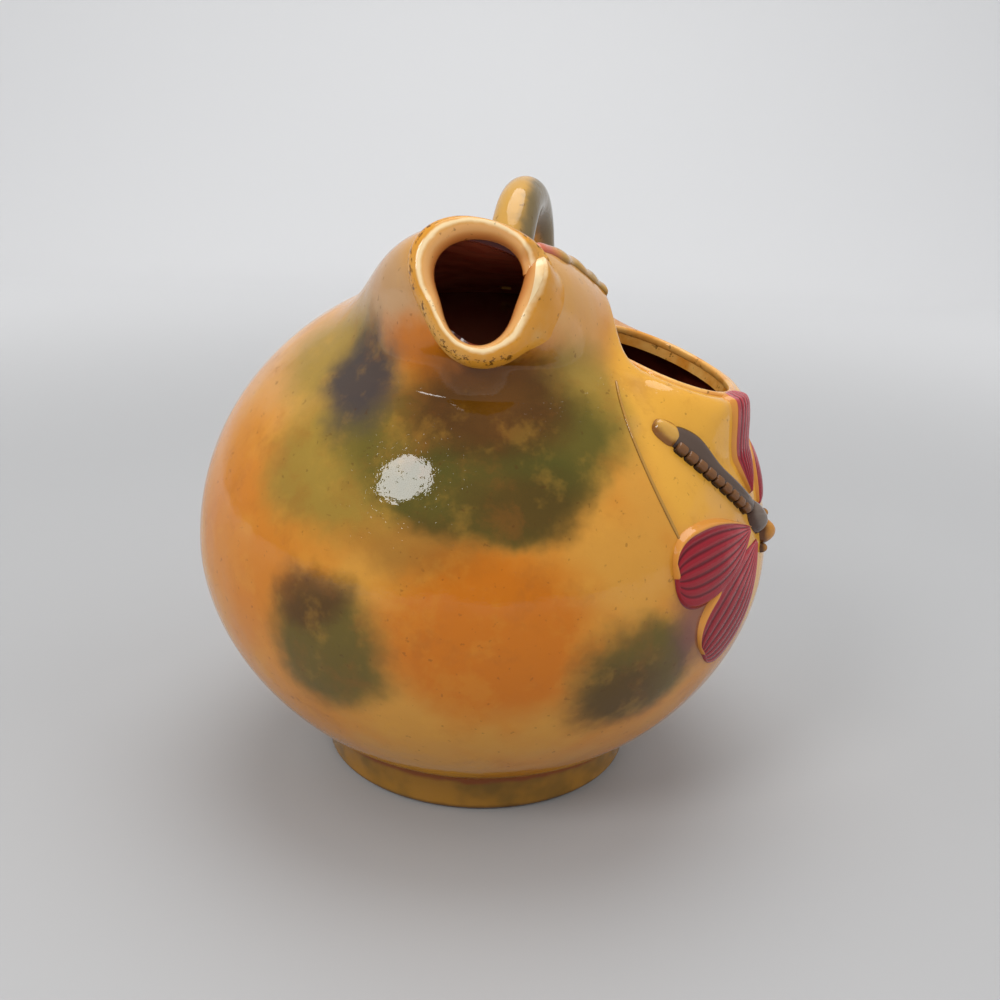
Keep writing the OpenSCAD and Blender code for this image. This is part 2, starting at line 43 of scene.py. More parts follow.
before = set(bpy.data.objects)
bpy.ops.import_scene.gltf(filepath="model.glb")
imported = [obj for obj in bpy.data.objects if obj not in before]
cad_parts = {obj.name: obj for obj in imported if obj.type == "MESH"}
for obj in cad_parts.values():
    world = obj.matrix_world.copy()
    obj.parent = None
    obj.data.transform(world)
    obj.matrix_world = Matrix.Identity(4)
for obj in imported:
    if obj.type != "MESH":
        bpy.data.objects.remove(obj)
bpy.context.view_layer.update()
BOWL_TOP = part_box("body_bowl")[1].z
MM = 0.001

# Steps of the finer surfaces, of slopes, and between points that count as one
COLUMNS = 264
SHOULDER_ROWS = 40
NECK_ROWS = 104
SLOPE_STEP = 0.2 * MM
SAME_POINT = 0.001 * MM

# Shape of the globe, the neck and the wall round the filling opening
BASE_POWER = 1.86
NECK_DROP = 11.6 * MM
NECK_SLOPE = 0.22
NECK_LEAN = math.radians(45)
NECK_PULL = 0.3
FLANK_LEFT, FLANK_RIGHT, FLANK_TOP, FLANK_LOW = (math.radians(a) for a in (52, 42, 6, -35))
LAND_WIDTH = 4.6 * MM
BEND_WIDE = 23 * MM
BEND_NARROW = 7 * MM
BEND_START = 10 * MM
NARROW_TURN = math.radians(25)
CUT_TURN = 0.3

# Angles round the mouth, from its right side
FOLD_START = math.radians(-60)
FOLD_TIP = math.radians(28)
LIP_LAP = math.radians(10)
TUCK_TURN = math.radians(16)

# Hand-formed rings round the mouth, in millimetres: mean radius, then size and peak angle in degrees of one,
# two and three waves
MOUTH_HOLE = (13.2, (0, 0), (1.6, -88), (1.1, 29))
MOUTH_CREST = (16.4, (1.0, 106), (1.5, -74), (1.05, 31))
MOUTH_EDGE = (20.35, (1.1, -11), (1.5, -49), (1.3, 22))
LIP_PROUD = 1.2 * MM
LIP_SUNK = 3.6 * MM
THROAT_RADIUS = 26 * MM

# Fold beside the mouth: lift and lean of its ridge, reach of its slope past the mouth's edge, what the tip
# lacks of that reach, and depth of the slope's end
FOLD_LIFT = 2.5 * MM
FOLD_LEAN = 3.0 * MM
FOLD_REACH = 2.2 * MM
FOLD_TIP_LOSS = 0.8 * MM
FOLD_DEPTH = 4.2 * MM

# Seam on the neck's flank, edge of the opening and slip line
SEAM_HALF_WIDTH = 3.3 * MM
SEAM_HEIGHT = 1.7 * MM
SEAM_SUNK = 1.5 * MM
SEAM_WANDER = 0.5 * MM
RIM_SPAN = math.radians(140)
RIM_SUNK = 1.9 * MM
LINE_HEIGHT = 0.45 * MM
LINE_SUNK = 0.6 * MM

# Handle: turn of its ends past the roots, depth of the collars' ends in the clay, their flare, and the vent
PAST_TOP, PAST_LOW = math.radians(2), math.radians(3)
COLLAR_SUNK = 1.0 * MM
COLLAR_LAP = 0.4 * MM
COLLAR_FLARE = 1.6
VENT_TURN = math.radians(100)
VENT_RADIUS = 1.75 * MM
VENT_DEPTH = 14 * MM

# Dragonfly: parts of its body, measured along it from the thorax's middle, and its wings' roots beside it
RELIEF_SUNK = 0.8 * MM
HALF_THORAX = 7 * MM
HEAD_END = 16.3 * MM
EYE_PLACE = 11.8 * MM
TAIL_LENGTH = 9 * MM
TAIL_GAP = 1.5 * MM
BLOCK_COUNT = 9
BLOCK_START = 9 * MM
BLOCK_PITCH = 4.15 * MM
BLOCK_LENGTH = 3.8 * MM
WING_OFFSET = 5.6 * MM

# Glaze: depth of its grain
GRAIN = 0.04 * MM

# Lamps: name, place and size in metres, power in watts, and whether the gloss shows it
LAMPS = (
    ("key", (-0.62, -0.80, 0.92), 0.42, 5.5, True),
    ("front", (0.10, -1.30, 0.55), 1.0, 3, False),
    ("top", (0.05, 0.35, 1.35), 1.2, 11, True),
    ("right", (1.30, -0.20, 0.95), 1.7, 10, False),
    ("left", (-1.35, 0.10, 0.95), 1.7, 8, False),
)

# Camera: place in metres, pitch down, yaw and roll in degrees, sensor and lens in millimetres
CAMERA_PLACE = (0, -0.3936, 0.2239)
CAMERA_TURNS = (18.79, 0.80, 2.13)
CAMERA_SENSOR = 36
CAMERA_LENS = 43.2


def srgb(red, green, blue):
    """Linear colour of a screen colour given in 0 to 255."""
    share = np.array([red, green, blue]) / 255
    return tuple(np.where(share <= 0.04045, share / 12.92, ((share + 0.055) / 1.055) ** 2.4).tolist())


def length_setting(name, description, size):
    """Length that can be set, given in millimetres."""
    return FloatProperty(name=name, description=description, default=size * MM, unit="LENGTH")


def angle_setting(name, description, degrees):
    """Angle that can be set."""
    return FloatProperty(name=name, description=description, default=math.radians(degrees), unit="ROTATION")


def colour_setting(name, description, *screen):
    """Colour that can be set, given in 0 to 255."""
    return FloatVectorProperty(name=name, description=description, default=srgb(*screen), subtype="COLOR")


class JugSizes(bpy.types.PropertyGroup):
    """Sizes of the jug, most of which repeat the frame's own"""
    body_radius: length_setting("Globe radius", "Radius at the widest ring", 96)
    waist_height: length_setting("Waist height", "Height of the widest ring", 79)
    crown_rise: length_setting("Crown rise", "Rise from the widest ring to the crown", 89.6)
    base_sink: length_setting("Base sink", "How far below the table the lower curve closes", 4.6)
    wall: length_setting("Wall", "Thickness of the clay", 5)
    floor: length_setting("Floor", "Thickness of the floor", 6)
    foot_height: length_setting("Foot height", "Height of the foot ring", 13)
    foot_radius: length_setting("Foot radius", "Outer radius of the foot ring", 53.5)
    foot_width: length_setting("Foot width", "Width of the foot ring", 11)
    foot_recess: length_setting("Foot recess", "Height of the underside", 8)
    mouth_setback: length_setting("Mouth setback", "Distance of the mouth behind the globe's front", 32)
    mouth_rise: length_setting("Mouth rise", "Height of the mouth's middle over the crown", 4)
    mouth_shift: length_setting("Mouth shift", "Sideways place of the mouth", -3.5)
    mouth_tilt: angle_setting("Mouth tilt", "Upward tilt of the mouth", 22)
    lip_height: length_setting("Lip height", "Height of the coil round the mouth", 5.5)
    filler_inset: length_setting("Opening inset", "Distance of the opening inside the globe's right side", 39)
    filler_shift: length_setting("Opening shift", "Place of the opening towards the handle", -5)
    filler_drop: length_setting("Opening drop", "Depth of the opening below the crown", 26)
    filler_tilt: angle_setting("Opening tilt", "Outward tilt of the opening", 18.5)
    filler_half_slope: length_setting("Opening half length", "Half of its length down the slope", 23.5)
    filler_half_width: length_setting("Opening half width", "Half of its width, front to back", 36)
    rim_width: length_setting("Rim width", "Width of the rounded edge", 3.6)
    rim_height: length_setting("Rim height", "Height of the rounded edge", 1.4)
    handle_radius: length_setting("Handle radius", "Outer radius of the handle", 8)
    bore_radius: length_setting("Passage radius", "Radius of the hidden passage", 3)
    handle_turn: angle_setting("Handle turn", "Turn of the handle from straight behind", 9.5)
    handle_rise: length_setting("Handle rise", "Height of its middle line over the crown", 17.9)
    handle_reach: length_setting("Handle reach", "Reach of its middle line beyond the globe", 12.9)
    handle_bend: length_setting("Handle bend", "Radius of its upper bend", 40)
    lower_root_rise: length_setting("Lower root", "Height of the lower root over the widest ring", 18)
    collar_spread: length_setting("Collar spread", "Spread of the clay at the handle's roots", 7)
    collar_length: length_setting("Collar length", "Length of that clay along the handle", 15)
    fly_turn: angle_setting("Dragonfly turn", "Angle of the thorax round the globe", -24.5)
    fly_rise: length_setting("Dragonfly rise", "Height of the thorax over the widest ring", 21.5)
    abdomen_length: length_setting("Abdomen length", "Length from thorax to tail", 56.5)
    abdomen_climb: angle_setting("Abdomen climb", "Climb of the abdomen from level", 38.5)
    wing_relief: length_setting("Wing relief", "Height of the wings over the skin", 1.7)
    line_width: length_setting("Slip line", "Width of the slip line", 1.2)


class JugColours(bpy.types.PropertyGroup):
    """Colours of the glazes and of the stage"""
    ochre: colour_setting("Ochre", "Ground of the glaze", 202, 142, 54)
    yellow: colour_setting("Yellow", "Panel behind the dragonfly", 218, 160, 58)
    orange: colour_setting("Orange", "Warm clouds", 192, 106, 4)
    green: colour_setting("Green", "Green clouds", 76, 72, 20)
    olive: colour_setting("Olive", "Pale green clouds", 134, 116, 44)
    # Brown also gives the painted shade low on the globe and under the lip
    brown: colour_setting("Brown", "Brown clouds and specks", 76, 42, 4)
    # Slate: partly the glaze's own grey, partly painted shade in the crease at the neck's foot
    slate: colour_setting("Slate", "Blue grey patch", 64, 56, 56)
    peach: colour_setting("Peach", "Pale flanks of the neck", 204, 156, 98)
    # Painted sheen: a pale wall reflected on the neck's left flank
    painted_sheen: colour_setting("Sand", "Grey pink clouds on the neck", 180, 142, 102)
    violet: colour_setting("Violet", "Tinge beside the wings", 104, 56, 70)
    # Cream: painted highlight along the lip's crest
    cream: colour_setting("Cream", "Crest of the lip", 246, 220, 172)
    maroon: colour_setting("Maroon", "Glaze inside", 124, 50, 32)
    crimson: colour_setting("Crimson", "Wings", 142, 26, 38)
    wine: colour_setting("Wine", "Veins of the wings", 84, 10, 22)
    mauve: colour_setting("Mauve", "Dragonfly's back", 84, 68, 58)
    straw: colour_setting("Straw", "Margins of the wings", 208, 142, 62)
    floor: colour_setting("Floor", "Plain floor", 168, 168, 168)


def sizes():
    """Sizes of the jug in the scene."""
    return bpy.context.scene.jug_sizes


def tint(name):
    """Colour of the jug in the scene, by its name."""
    return tuple(getattr(bpy.context.scene.jug_colours, name))


def ease(t):
    """Smooth step from 0 to 1."""
    c = np.clip(t, 0, 1)
    return c * c * (3 - 2 * c)


def along(vectors, direction):
    """Dot product of many vectors with one direction."""
    return np.asarray(vectors) @ np.asarray(direction)


def unit(vectors):
    """Vectors brought to a length of 1."""
    return vectors / np.linalg.norm(vectors, axis=-1, keepdims=True)


def stacked(*parts):
    """Vectors from their parts, which are brought to one shape."""
    return np.stack(np.broadcast_arrays(*parts), -1)


def circle(count):
    """Evenly spaced angles round a circle."""
    return np.linspace(0, 2 * math.pi, count, endpoint=False)


def heading(angle):
    """Directions in a plane, at angles."""
    return stacked(np.cos(angle), np.sin(angle))


def cubic(start, leave, end, arrive, t):
    """Points at shares t of a cubic from start to end, with given directions at both ends."""
    return (start * (2 * t ** 3 - 3 * t ** 2 + 1) + leave * (t ** 3 - 2 * t ** 2 + t)
            + end * (3 * t ** 2 - 2 * t ** 3) + arrive * (t ** 3 - t ** 2))


def half_ovals(angle, above, below):
    """Heights of a section made of two half ovals, one above its middle line and one below it."""
    return np.sin(angle) * np.where(np.sin(angle) > 0, above, below)


def blunt_ends(t, power, least):
    """Size of a swept section that closes bluntly where t comes to -1 or 1."""
    return np.sqrt(np.maximum(least, 1 - np.abs(t) ** power))


def swept(line, across, wide, out, high):
    """Rings along a line, whose points lie so wide across it and so high outward from it."""
    return line[..., None, :] + across[..., None, :] * wide[..., None] + out[..., None, :] * high[..., None]


def globe_radius(z, inset=0.0):
    """Radius of the globe at a height: half an ellipse above the waist, a fuller power curve below it."""
    s = sizes()
    z = np.asarray(z, float)
    drop = s.waist_height + s.base_sink - inset
    high = np.sqrt(1 - np.clip((z - s.waist_height) / (s.crown_rise - inset), 0, 1) ** 2)
    low = (1 - np.clip((s.waist_height - z) / drop, 0, 1) ** BASE_POWER) ** (1 / BASE_POWER)
    return (s.body_radius - inset) * np.where(z >= s.waist_height, high, low)


def on_globe(phi, z):
    """Points of the globe at angles round it and heights."""
    r = globe_radius(z)
    return stacked(r * np.cos(phi), r * np.sin(phi), z)


def globe_slope(z):
    """Change of the globe's radius with height."""
    return (globe_radius(z + SLOPE_STEP) - globe_radius(z - SLOPE_STEP)) / (2 * SLOPE_STEP)


def globe_normal(phi, z):
    """Outward direction of the globe."""
    return unit(stacked(np.cos(phi), np.sin(phi), -globe_slope(z)))


def revolved(radii, heights):
    """Rings about the globe's axis."""
    phi = circle(COLUMNS)
    return stacked(radii[:, None] * np.cos(phi), radii[:, None] * np.sin(phi), heights[:, None])


def filler_axes():
    """Middle of the filling opening, its outward axis and the direction down its slope."""
    s = sizes()
    crown = s.waist_height + s.crown_rise
    middle = np.array([s.body_radius - s.filler_inset, s.filler_shift, crown - s.filler_drop])
    sine, cosine = math.sin(s.filler_tilt), math.cos(s.filler_tilt)
    return middle, np.array([sine, 0, cosine]), np.array([cosine, 0, -sine])


def pressed(points):
    """Skin pressed flat round the opening: points near its oval edge move along its axis to its plane.

    The share of the move is 1 within a land beside the edge, fades out over a bend that is narrow towards the
    neck and wide away from it, and fades out towards the joint with the bowl.
    """
    s = sizes()
    middle, out, down = filler_axes()
    offset = points - middle
    slope, across = along(offset, down), offset[..., 1]
    span = np.maximum(np.hypot(slope, across), 1e-9)
    oval = np.hypot(slope / s.filler_half_slope, across / s.filler_half_width)
    gap = np.where(oval > 1, span * (1 - 1 / np.maximum(oval, 1)), 0)
    face = (slope * math.cos(NARROW_TURN) + across * math.sin(NARROW_TURN)) / span
    land = LAND_WIDTH * ease((face + 0.9) / 0.5)
    bend = BEND_NARROW + (BEND_WIDE - BEND_NARROW) * (face + 1) / 2
    share = ease(1 - (gap - land) / bend) * ease((points[..., 2] - BOWL_TOP) / BEND_START)
    return points - out * (share * along(offset, out))[..., None]


def mouth_axes():
    """Middle of the mouth, its outward axis and its upward direction."""
    s = sizes()
    crown = s.waist_height + s.crown_rise
    middle = np.array([s.mouth_shift, s.mouth_setback - s.body_radius, crown + s.mouth_rise])
    sine, cosine = math.sin(s.mouth_tilt), math.cos(s.mouth_tilt)
    return middle, np.array([0, -cosine, sine]), np.array([0, sine, cosine])


def mouth_ray(angle):
    """Directions from the mouth's middle, at angles from its right side."""
    _, _, up = mouth_axes()
    return np.cos(angle)[..., None] * np.array([1.0, 0, 0]) + np.sin(angle)[..., None] * up


def mouth_outline(ring, angle):
    """Radius of a hand-formed ring round the mouth: a circle with three waves."""
    mean, *waves = ring
    return MM * (mean + sum(size * np.cos(count * (angle - math.radians(peak)))
                            for count, (size, peak) in enumerate(waves, 1)))


def neck_foot(phi):
    """Tilted ring on the globe where the neck starts: the plane's height grows with the distance behind."""
    s = sizes()
    a, b = s.body_radius, s.crown_rise
    h = s.crown_rise - NECK_DROP
    k = NECK_SLOPE * np.sin(phi)
    qa = 1 / a ** 2 + k ** 2 / b ** 2
    qb = 2 * h * k / b ** 2
    qc = h ** 2 / b ** 2 - 1
    rho = (np.sqrt(qb ** 2 - 4 * qa * qc) - qb) / (2 * qa)
    return stacked(rho * np.cos(phi), rho * np.sin(phi), s.waist_height + h + k * rho)


def neck_points(phi, v):
    """Skin of the neck: a cubic from its foot on the globe (v = 0) to the mouth's ring (v = 1).

    It leaves along the globe, leaning towards the front, and arrives at the flank's own angle to the mouth's
    axis.
    """
    s = sizes()
    phi, v = np.broadcast_arrays(np.asarray(phi, float), np.asarray(v, float))
    foot = neck_foot(phi)
    climb = unit(stacked(-(foot[..., 2] - s.waist_height) / s.crown_rise ** 2,
                         np.hypot(foot[..., 0], foot[..., 1]) / s.body_radius ** 2))
    cosine, sine = np.cos(phi), np.sin(phi)
    lean = -math.sin(NECK_LEAN) * cosine
    rise = stacked(climb[..., 0] * cosine, climb[..., 0] * sine, climb[..., 1])
    sweep = stacked(-sine, cosine, 0.0)
    leave = rise * np.sqrt(1 - lean ** 2)[..., None] + sweep * lean[..., None]
    middle, out, _ = mouth_axes()
    ray = mouth_ray(phi)
    end = middle + ray * (mouth_outline(MOUTH_EDGE, phi) - LIP_PROUD)[..., None]
    ends = np.where(sine > 0, sine ** 2, sine ** 6)
    turn = (np.where(cosine > 0, FLANK_RIGHT, FLANK_LEFT) * (1 - ends)
            + np.where(sine > 0, FLANK_TOP, FLANK_LOW) * ends)
    arrive = out * np.cos(turn)[..., None] - ray * np.sin(turn)[..., None]
    length = np.linalg.norm(end - foot, axis=-1, keepdims=True)
    return pressed(cubic(foot, leave * length * NECK_PULL, end, arrive * length, v[..., None]))


def neck_normals(phi, v):
    """Outward direction of the neck's skin."""
    turn, climb = math.radians(1), 0.01
    around = neck_points(phi + turn, v) - neck_points(phi - turn, v)
    forward = neck_points(phi, v + climb) - neck_points(phi, v - climb)
    return unit(np.cross(around, forward))


def ring_quads(rows, cols, loop=False):
    """Corner numbers of the quads between neighbouring rings."""
    i = np.arange(rows if loop else rows - 1)[:, None]
    j = np.arange(cols)[None, :]
    here, above = i * cols, (i + 1) % rows * cols
    beside = (j + 1) % cols
    return stacked(here + j, here + beside, above + beside, above + j).reshape(-1, 4)


def clay(name, points, faces, sharp=50, values=None, groups=None):
    """Closed smooth mesh object with outward faces, optional values at its points and material numbers."""
    mesh = bpy.data.meshes.new(name)
    mesh.from_pydata(points.tolist(), [], faces)
    for key, numbers in (values or {}).items():
        attribute = mesh.attributes.new(key, "FLOAT", "POINT")
        attribute.data.foreach_set("value", np.asarray(numbers, np.float32).ravel())
    if groups is not None:
        mesh.polygons.foreach_set("material_index", np.asarray(groups, np.int32))
    work = bmesh.new()
    work.from_mesh(mesh)
    bmesh.ops.remove_doubles(work, verts=work.verts, dist=SAME_POINT)
    bmesh.ops.recalc_face_normals(work, faces=work.faces)
    work.to_mesh(mesh)
    work.free()
    mesh.polygons.foreach_set("use_smooth", np.ones(len(mesh.polygons), bool))
    mesh.set_sharp_from_angle(angle=math.radians(sharp))
    obj = bpy.data.objects.new(name, mesh)
    bpy.context.scene.collection.objects.link(obj)
    return obj


def ring_object(name, rings, loop=False, sharp=50, values=None):
    """Object skinned over a stack of rings, with a fan at either end unless the stack closes on itself."""
    rows, cols = rings.shape[:2]
    points = rings.reshape(-1, 3)
    faces = ring_quads(rows, cols, loop).tolist()
    values = {key: np.broadcast_to(v, (rows, cols)).reshape(-1) for key, v in (values or {}).items()}
    if not loop:
        j = np.arange(cols)
        k = (j + 1) % cols
        top = (rows - 1) * cols
        first = np.stack([np.full(cols, rows * cols), k, j], -1)
        last = np.stack([np.full(cols, rows * cols + 1), top + j, top + k], -1)
        faces += first.tolist() + last.tolist()
        points = np.concatenate([points, rings[[0, -1]].mean(axis=1)])
        values = {key: np.concatenate([v, [v[:cols].mean(), v[-cols:].mean()]]) for key, v in values.items()}
    return clay(name, points, faces, sharp, values)


def place(obj, slot, materials, *nodes):
    """Gives a piece its materials and its place in the frame."""
    for material in materials:
        obj.data.materials.append(material)
    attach(obj, "root")
    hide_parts(*nodes)


class Shade:
    """Adds and links the nodes of one material."""

    def __init__(self, name):
        self.material = bpy.data.materials.new(name)
        self.material.use_nodes = True
        self.tree = self.material.node_tree
        self.tree.nodes.clear()
        self.place = self.add("TexCoord").outputs["Object"]

    def put(self, socket, value):
        """Links a socket to another, or sets its value."""
        if isinstance(value, bpy.types.NodeSocket):
            self.tree.links.new(value, socket)
        else:
            socket.default_value = value

    def add(self, kind, values=None, **settings):
        """New node with its settings and the values of its sockets."""
        node = self.tree.nodes.new("ShaderNode" + kind)
        for key, value in settings.items():
            setattr(node, key, value)
        for key, value in (values or {}).items():
            self.put(node.inputs[key], value)
        return node

    def noise(self, scale, detail=3.0, rough=0.55, vector=None, colour=False):
        """Noise in the jug's own coordinates, or at other places."""
        node = self.add("TexNoise", {"Vector": vector or self.place, "Scale": scale, "Detail": detail,
                                     "Roughness": rough})
        return node.outputs["Color" if colour else "Fac"]

    def vector(self, operation, a, b=None, scale=None):
        """Result of an operation on vectors."""
        node = self.add("VectorMath", {0: a}, operation=operation)
        if b is not None:
            self.put(node.inputs[1], b)
        if scale is not None:
            self.put(node.inputs["Scale"], scale)
        return node.outputs["Value" if operation in ("LENGTH", "DOT_PRODUCT") else "Vector"]

    def math(self, operation, a, b=0.0):
        """Result of an operation on numbers."""
        return self.add("Math", {0: a, 1: b}, operation=operation).outputs[0]

    def step(self, value, low, high, top=1.0):
        """Smooth step of a value, from 0 at low to top at high."""
        return self.add("MapRange", {"Value": value, "From Min": low, "From Max": high, "To Max": top},
                        interpolation_type="SMOOTHSTEP").outputs["Result"]

    def value(self, name):
        """Value that the mesh holds at its points."""
        return self.add("Attribute", attribute_name=name).outputs["Fac"]

    def mix(self, share, a, b):
        """Colour between two colours."""
        node = self.add("Mix", {0: share}, data_type="RGBA")
        for socket, colour in ((node.inputs[6], a), (node.inputs[7], b)):
            self.put(socket, colour if isinstance(colour, bpy.types.NodeSocket) else (*colour, 1.0))
        return node.outputs[2]

    def height(self):
        """Height over the table."""
        return self.add("SeparateXYZ", {0: self.place}).outputs["Z"]

    def drift(self, amount, scale, rough=0.55):
        """Noise about zero, for uneven edges."""
        return self.math("MULTIPLY", self.math("SUBTRACT", self.noise(scale, 3.0, rough), 0.5), amount)

    def warped(self, amount, scale, detail=4.0, place=None):
        """Place moved about by noise, for uneven edges."""
        drift = self.vector("SUBTRACT", self.noise(scale, detail, 0.6, colour=True), (0.5, 0.5, 0.5))
        return self.vector("ADD", place or self.place, self.vector("SCALE", drift, scale=amount))

    def cloud(self, place, centre, radii, soft, strength):
        """1 inside an ellipsoid about a centre in millimetres, fading out across its edge."""
        offset = self.vector("SUBTRACT", place, scaled(centre))
        reach = self.vector("LENGTH", self.vector("DIVIDE", offset, scaled(radii)))
        return self.step(reach, 1 + soft, 1 - soft, strength)

    def patches(self, scale, low, high, first, second, rough=0.55):
        """Two colours in uneven patches."""
        return self.mix(self.step(self.noise(scale, 3.0, rough), low, high), first, second)

    def specks(self, colour, scale, low, high, strength, detail=3.0, rough=0.6):
        """Brown specks on a colour."""
        share = self.step(self.noise(scale, detail, rough), low, high, strength)
        return self.mix(share, colour, tint("brown"))

    def glaze(self, colour, rough=0.16, waves=0.7 * MM):
        """Glossy glaze over a body colour, with slow waves, a fine grain and small pits in its surface."""
        swell = self.noise(48.0, 2.0, 0.5)
        fine = self.noise(520.0, 2.0, 0.6)
        pits = self.step(self.noise(900.0, 1.0, 0.5), 0.34, 0.24)
        waved = self.add("Bump", {"Strength": 1.0, "Distance": waves, "Height": swell})
        grained = self.add("Bump", {"Strength": 1.0, "Distance": GRAIN, "Height": fine,
                                    "Normal": waved.outputs[0]})
        pitted = self.add("Bump", {"Strength": 0.6, "Distance": GRAIN, "Height": pits,
                                   "Normal": grained.outputs[0]}, invert=True)
        shader = self.add("BsdfPrincipled", {
            "Base Color": colour, "Roughness": rough, "Specular IOR Level": 0.0, "Coat Weight": 0.8,
            "Coat Roughness": 0.035, "Normal": pitted.outputs[0], "Coat Normal": pitted.outputs[0]})
        output = self.add("OutputMaterial", {"Surface": shader.outputs[0]})
        output.is_active_output = True
        return self.material


# Clouds of colour in the glaze: colour, middle and radii in millimetres, softness of the edge, strength
CLOUDS = (
    ("peach", (-60, -22, 146), (28, 38, 18), 0.5, 0.6),
    # Grey pink cloud on the neck's left flank: a painted sheen, the reflection of a pale wall
    ("painted_sheen", (-32, -52, 167), (18, 26, 17), 0.45, 0.85),
    ("peach", (22, -58, 166), (20, 26, 20), 0.4, 0.7),
    ("orange", (-72, -60, 92), (26, 28, 28), 0.6, 0.55),
    ("orange", (3, -95, 81), (31, 26, 26), 0.3, 0.97),
    ("olive", (-46, -40, 148), (20, 22, 18), 0.5, 0.75),
    ("olive", (-42, -68, 122), (24, 28, 18), 0.35, 0.8),
    ("olive", (29, -63, 140), (19, 22, 17), 0.45, 0.8),
    ("green", (-22, -72, 133), (21, 22, 15), 0.4, 0.75),
    ("green", (1, -82, 121), (29, 26, 15), 0.25, 0.95),
    ("green", (20, -73, 131), (16, 20, 15), 0.4, 0.85),
    ("brown", (12, -84, 118), (16, 14, 9), 0.5, 0.5),
    ("brown", (-18, -89, 106), (18, 12, 8), 0.6, 0.45),
    # Orange just under the lip, then brown below it: the brown is painted shade under the lip with a painted
    # reflection of the lip
    ("orange", (-10, -62, 156), (24, 16, 10), 0.45, 0.9),
    ("brown", (0, -70, 143), (22, 18, 14), 0.45, 0.88),
    # Slate in the crease where the neck meets the globe on the left: partly the glaze's grey, partly painted
    # crease shade
    ("slate", (-37, -54, 144), (12, 16, 17), 0.5, 0.95),
    ("green", (-45, -84, 72), (21, 18, 21), 0.3, 0.9),
    ("brown", (-48, -82, 88), (14, 11, 9), 0.4, 0.75),
    ("green", (47, -82, 66), (21, 18, 19), 0.3, 0.9),
    ("brown", (42, -83, 60), (16, 14, 13), 0.6, 0.6),
    ("violet", (66, -70, 78), (10, 13, 15), 0.6, 0.75),
    ("green", (-60, 58, 112), (30, 30, 24), 0.4, 0.8),
    ("orange", (-30, 86, 82), (34, 26, 30), 0.35, 0.9),
    ("olive", (34, 82, 66), (28, 22, 24), 0.4, 0.8),
    ("green", (74, 50, 78), (22, 24, 22), 0.35, 0.75),
    ("brown", (-90, 18, 70), (14, 22, 18), 0.5, 0.6),
    ("olive", (0, 40, 158), (40, 26, 20), 0.5, 0.6),
    ("orange", (10, 60, 140), (40, 26, 20), 0.5, 0.5),
)
PANEL_MIDDLE = (86, -22, 124)
PANEL_RADIUS = 61


def scaled(numbers):
    """Millimetres as metres."""
    return tuple(n * MM for n in numbers)


def mottled_glaze():
    """Ochre ground with soft clouds of colour, some of them painted sheen and shade, a yellow panel on the
    right, mottling, specks and painted shade low on the globe.
    """
    m = Shade("mottled_glaze")
    loose = m.warped(5 * MM, 150.0, 3.0, m.warped(17 * MM, 34.0))
    colour = m.mix(0.6, m.patches(22.0, 0.42, 0.62, tint("ochre"), tint("orange"), 0.6), tint("ochre"))
    for name, middle, radii, soft, strength in CLOUDS:
        colour = m.mix(m.cloud(loose, middle, radii, soft, strength), colour, tint(name))
    panel = m.cloud(m.warped(5 * MM, 70.0), PANEL_MIDDLE, (PANEL_RADIUS,) * 3, 0.08, 0.9)
    warm = m.mix(m.step(m.noise(30.0, 3.0, 0.6), 0.45, 0.65, 0.5), tint("yellow"), tint("peach"))
    colour = m.mix(panel, colour, warm)
    pale = m.step(m.noise(70.0, 4.0, 0.65), 0.52, 0.7, 0.15)
    colour = m.mix(pale, colour, tint("yellow"))
    pool = m.step(m.noise(46.0, 5.0, 0.68, loose), 0.5, 0.72, 0.3)
    colour = m.mix(pool, colour, srgb(146, 84, 24))
    colour = m.specks(colour, 420.0, 0.66, 0.74, 0.35, 2.0)
    # Brown fading in below 20 mm, strongest below 12 mm: painted shade low on the globe, over the foot
    return m.glaze(m.mix(m.step(m.height(), 20 * MM, 12 * MM, 0.6), colour, tint("brown")))


def inner_glaze():
    """Dark maroon glaze, a little uneven, with painted light in the spout's chamber: lighter and redder
    there.
    """
    m = Shade("inner_glaze")
    colour = m.patches(60.0, 0.4, 0.7, tint("maroon"), srgb(88, 32, 20))
    # Painted light: the spout's chamber is coloured light red so that it looks lit
    chamber = m.cloud(m.place, (-8, -10, 156), (40, 54, 46), 0.3, 1.0)
    colour = m.mix(chamber, colour, m.patches(90.0, 0.4, 0.7, srgb(240, 132, 96), srgb(218, 108, 76)))
    return m.glaze(colour, rough=0.3)


def foot_glaze():
    """Yellow olive glaze, kept dark as painted shade under the globe, with a red brown line of painted shade
    in the crease against the globe and thin edges below.
    """
    m = Shade("foot_glaze")
    # Ground colours kept dark: partly painted shade under the overhanging globe
    colour = m.patches(45.0, 0.4, 0.65, srgb(152, 106, 34), srgb(118, 86, 32), 0.6)
    height = m.math("ADD", m.height(), m.math("MULTIPLY", m.noise(120.0, 3.0), 3 * MM))
    # Red brown band at the top of the foot: painted shade in the crease against the globe
    colour = m.mix(m.step(height, 11.6 * MM, 13.6 * MM, 0.85), colour, srgb(128, 62, 26))
    colour = m.mix(m.step(height, 4.2 * MM, 2.2 * MM, 0.6), colour, tint("brown"))
    return m.glaze(colour)


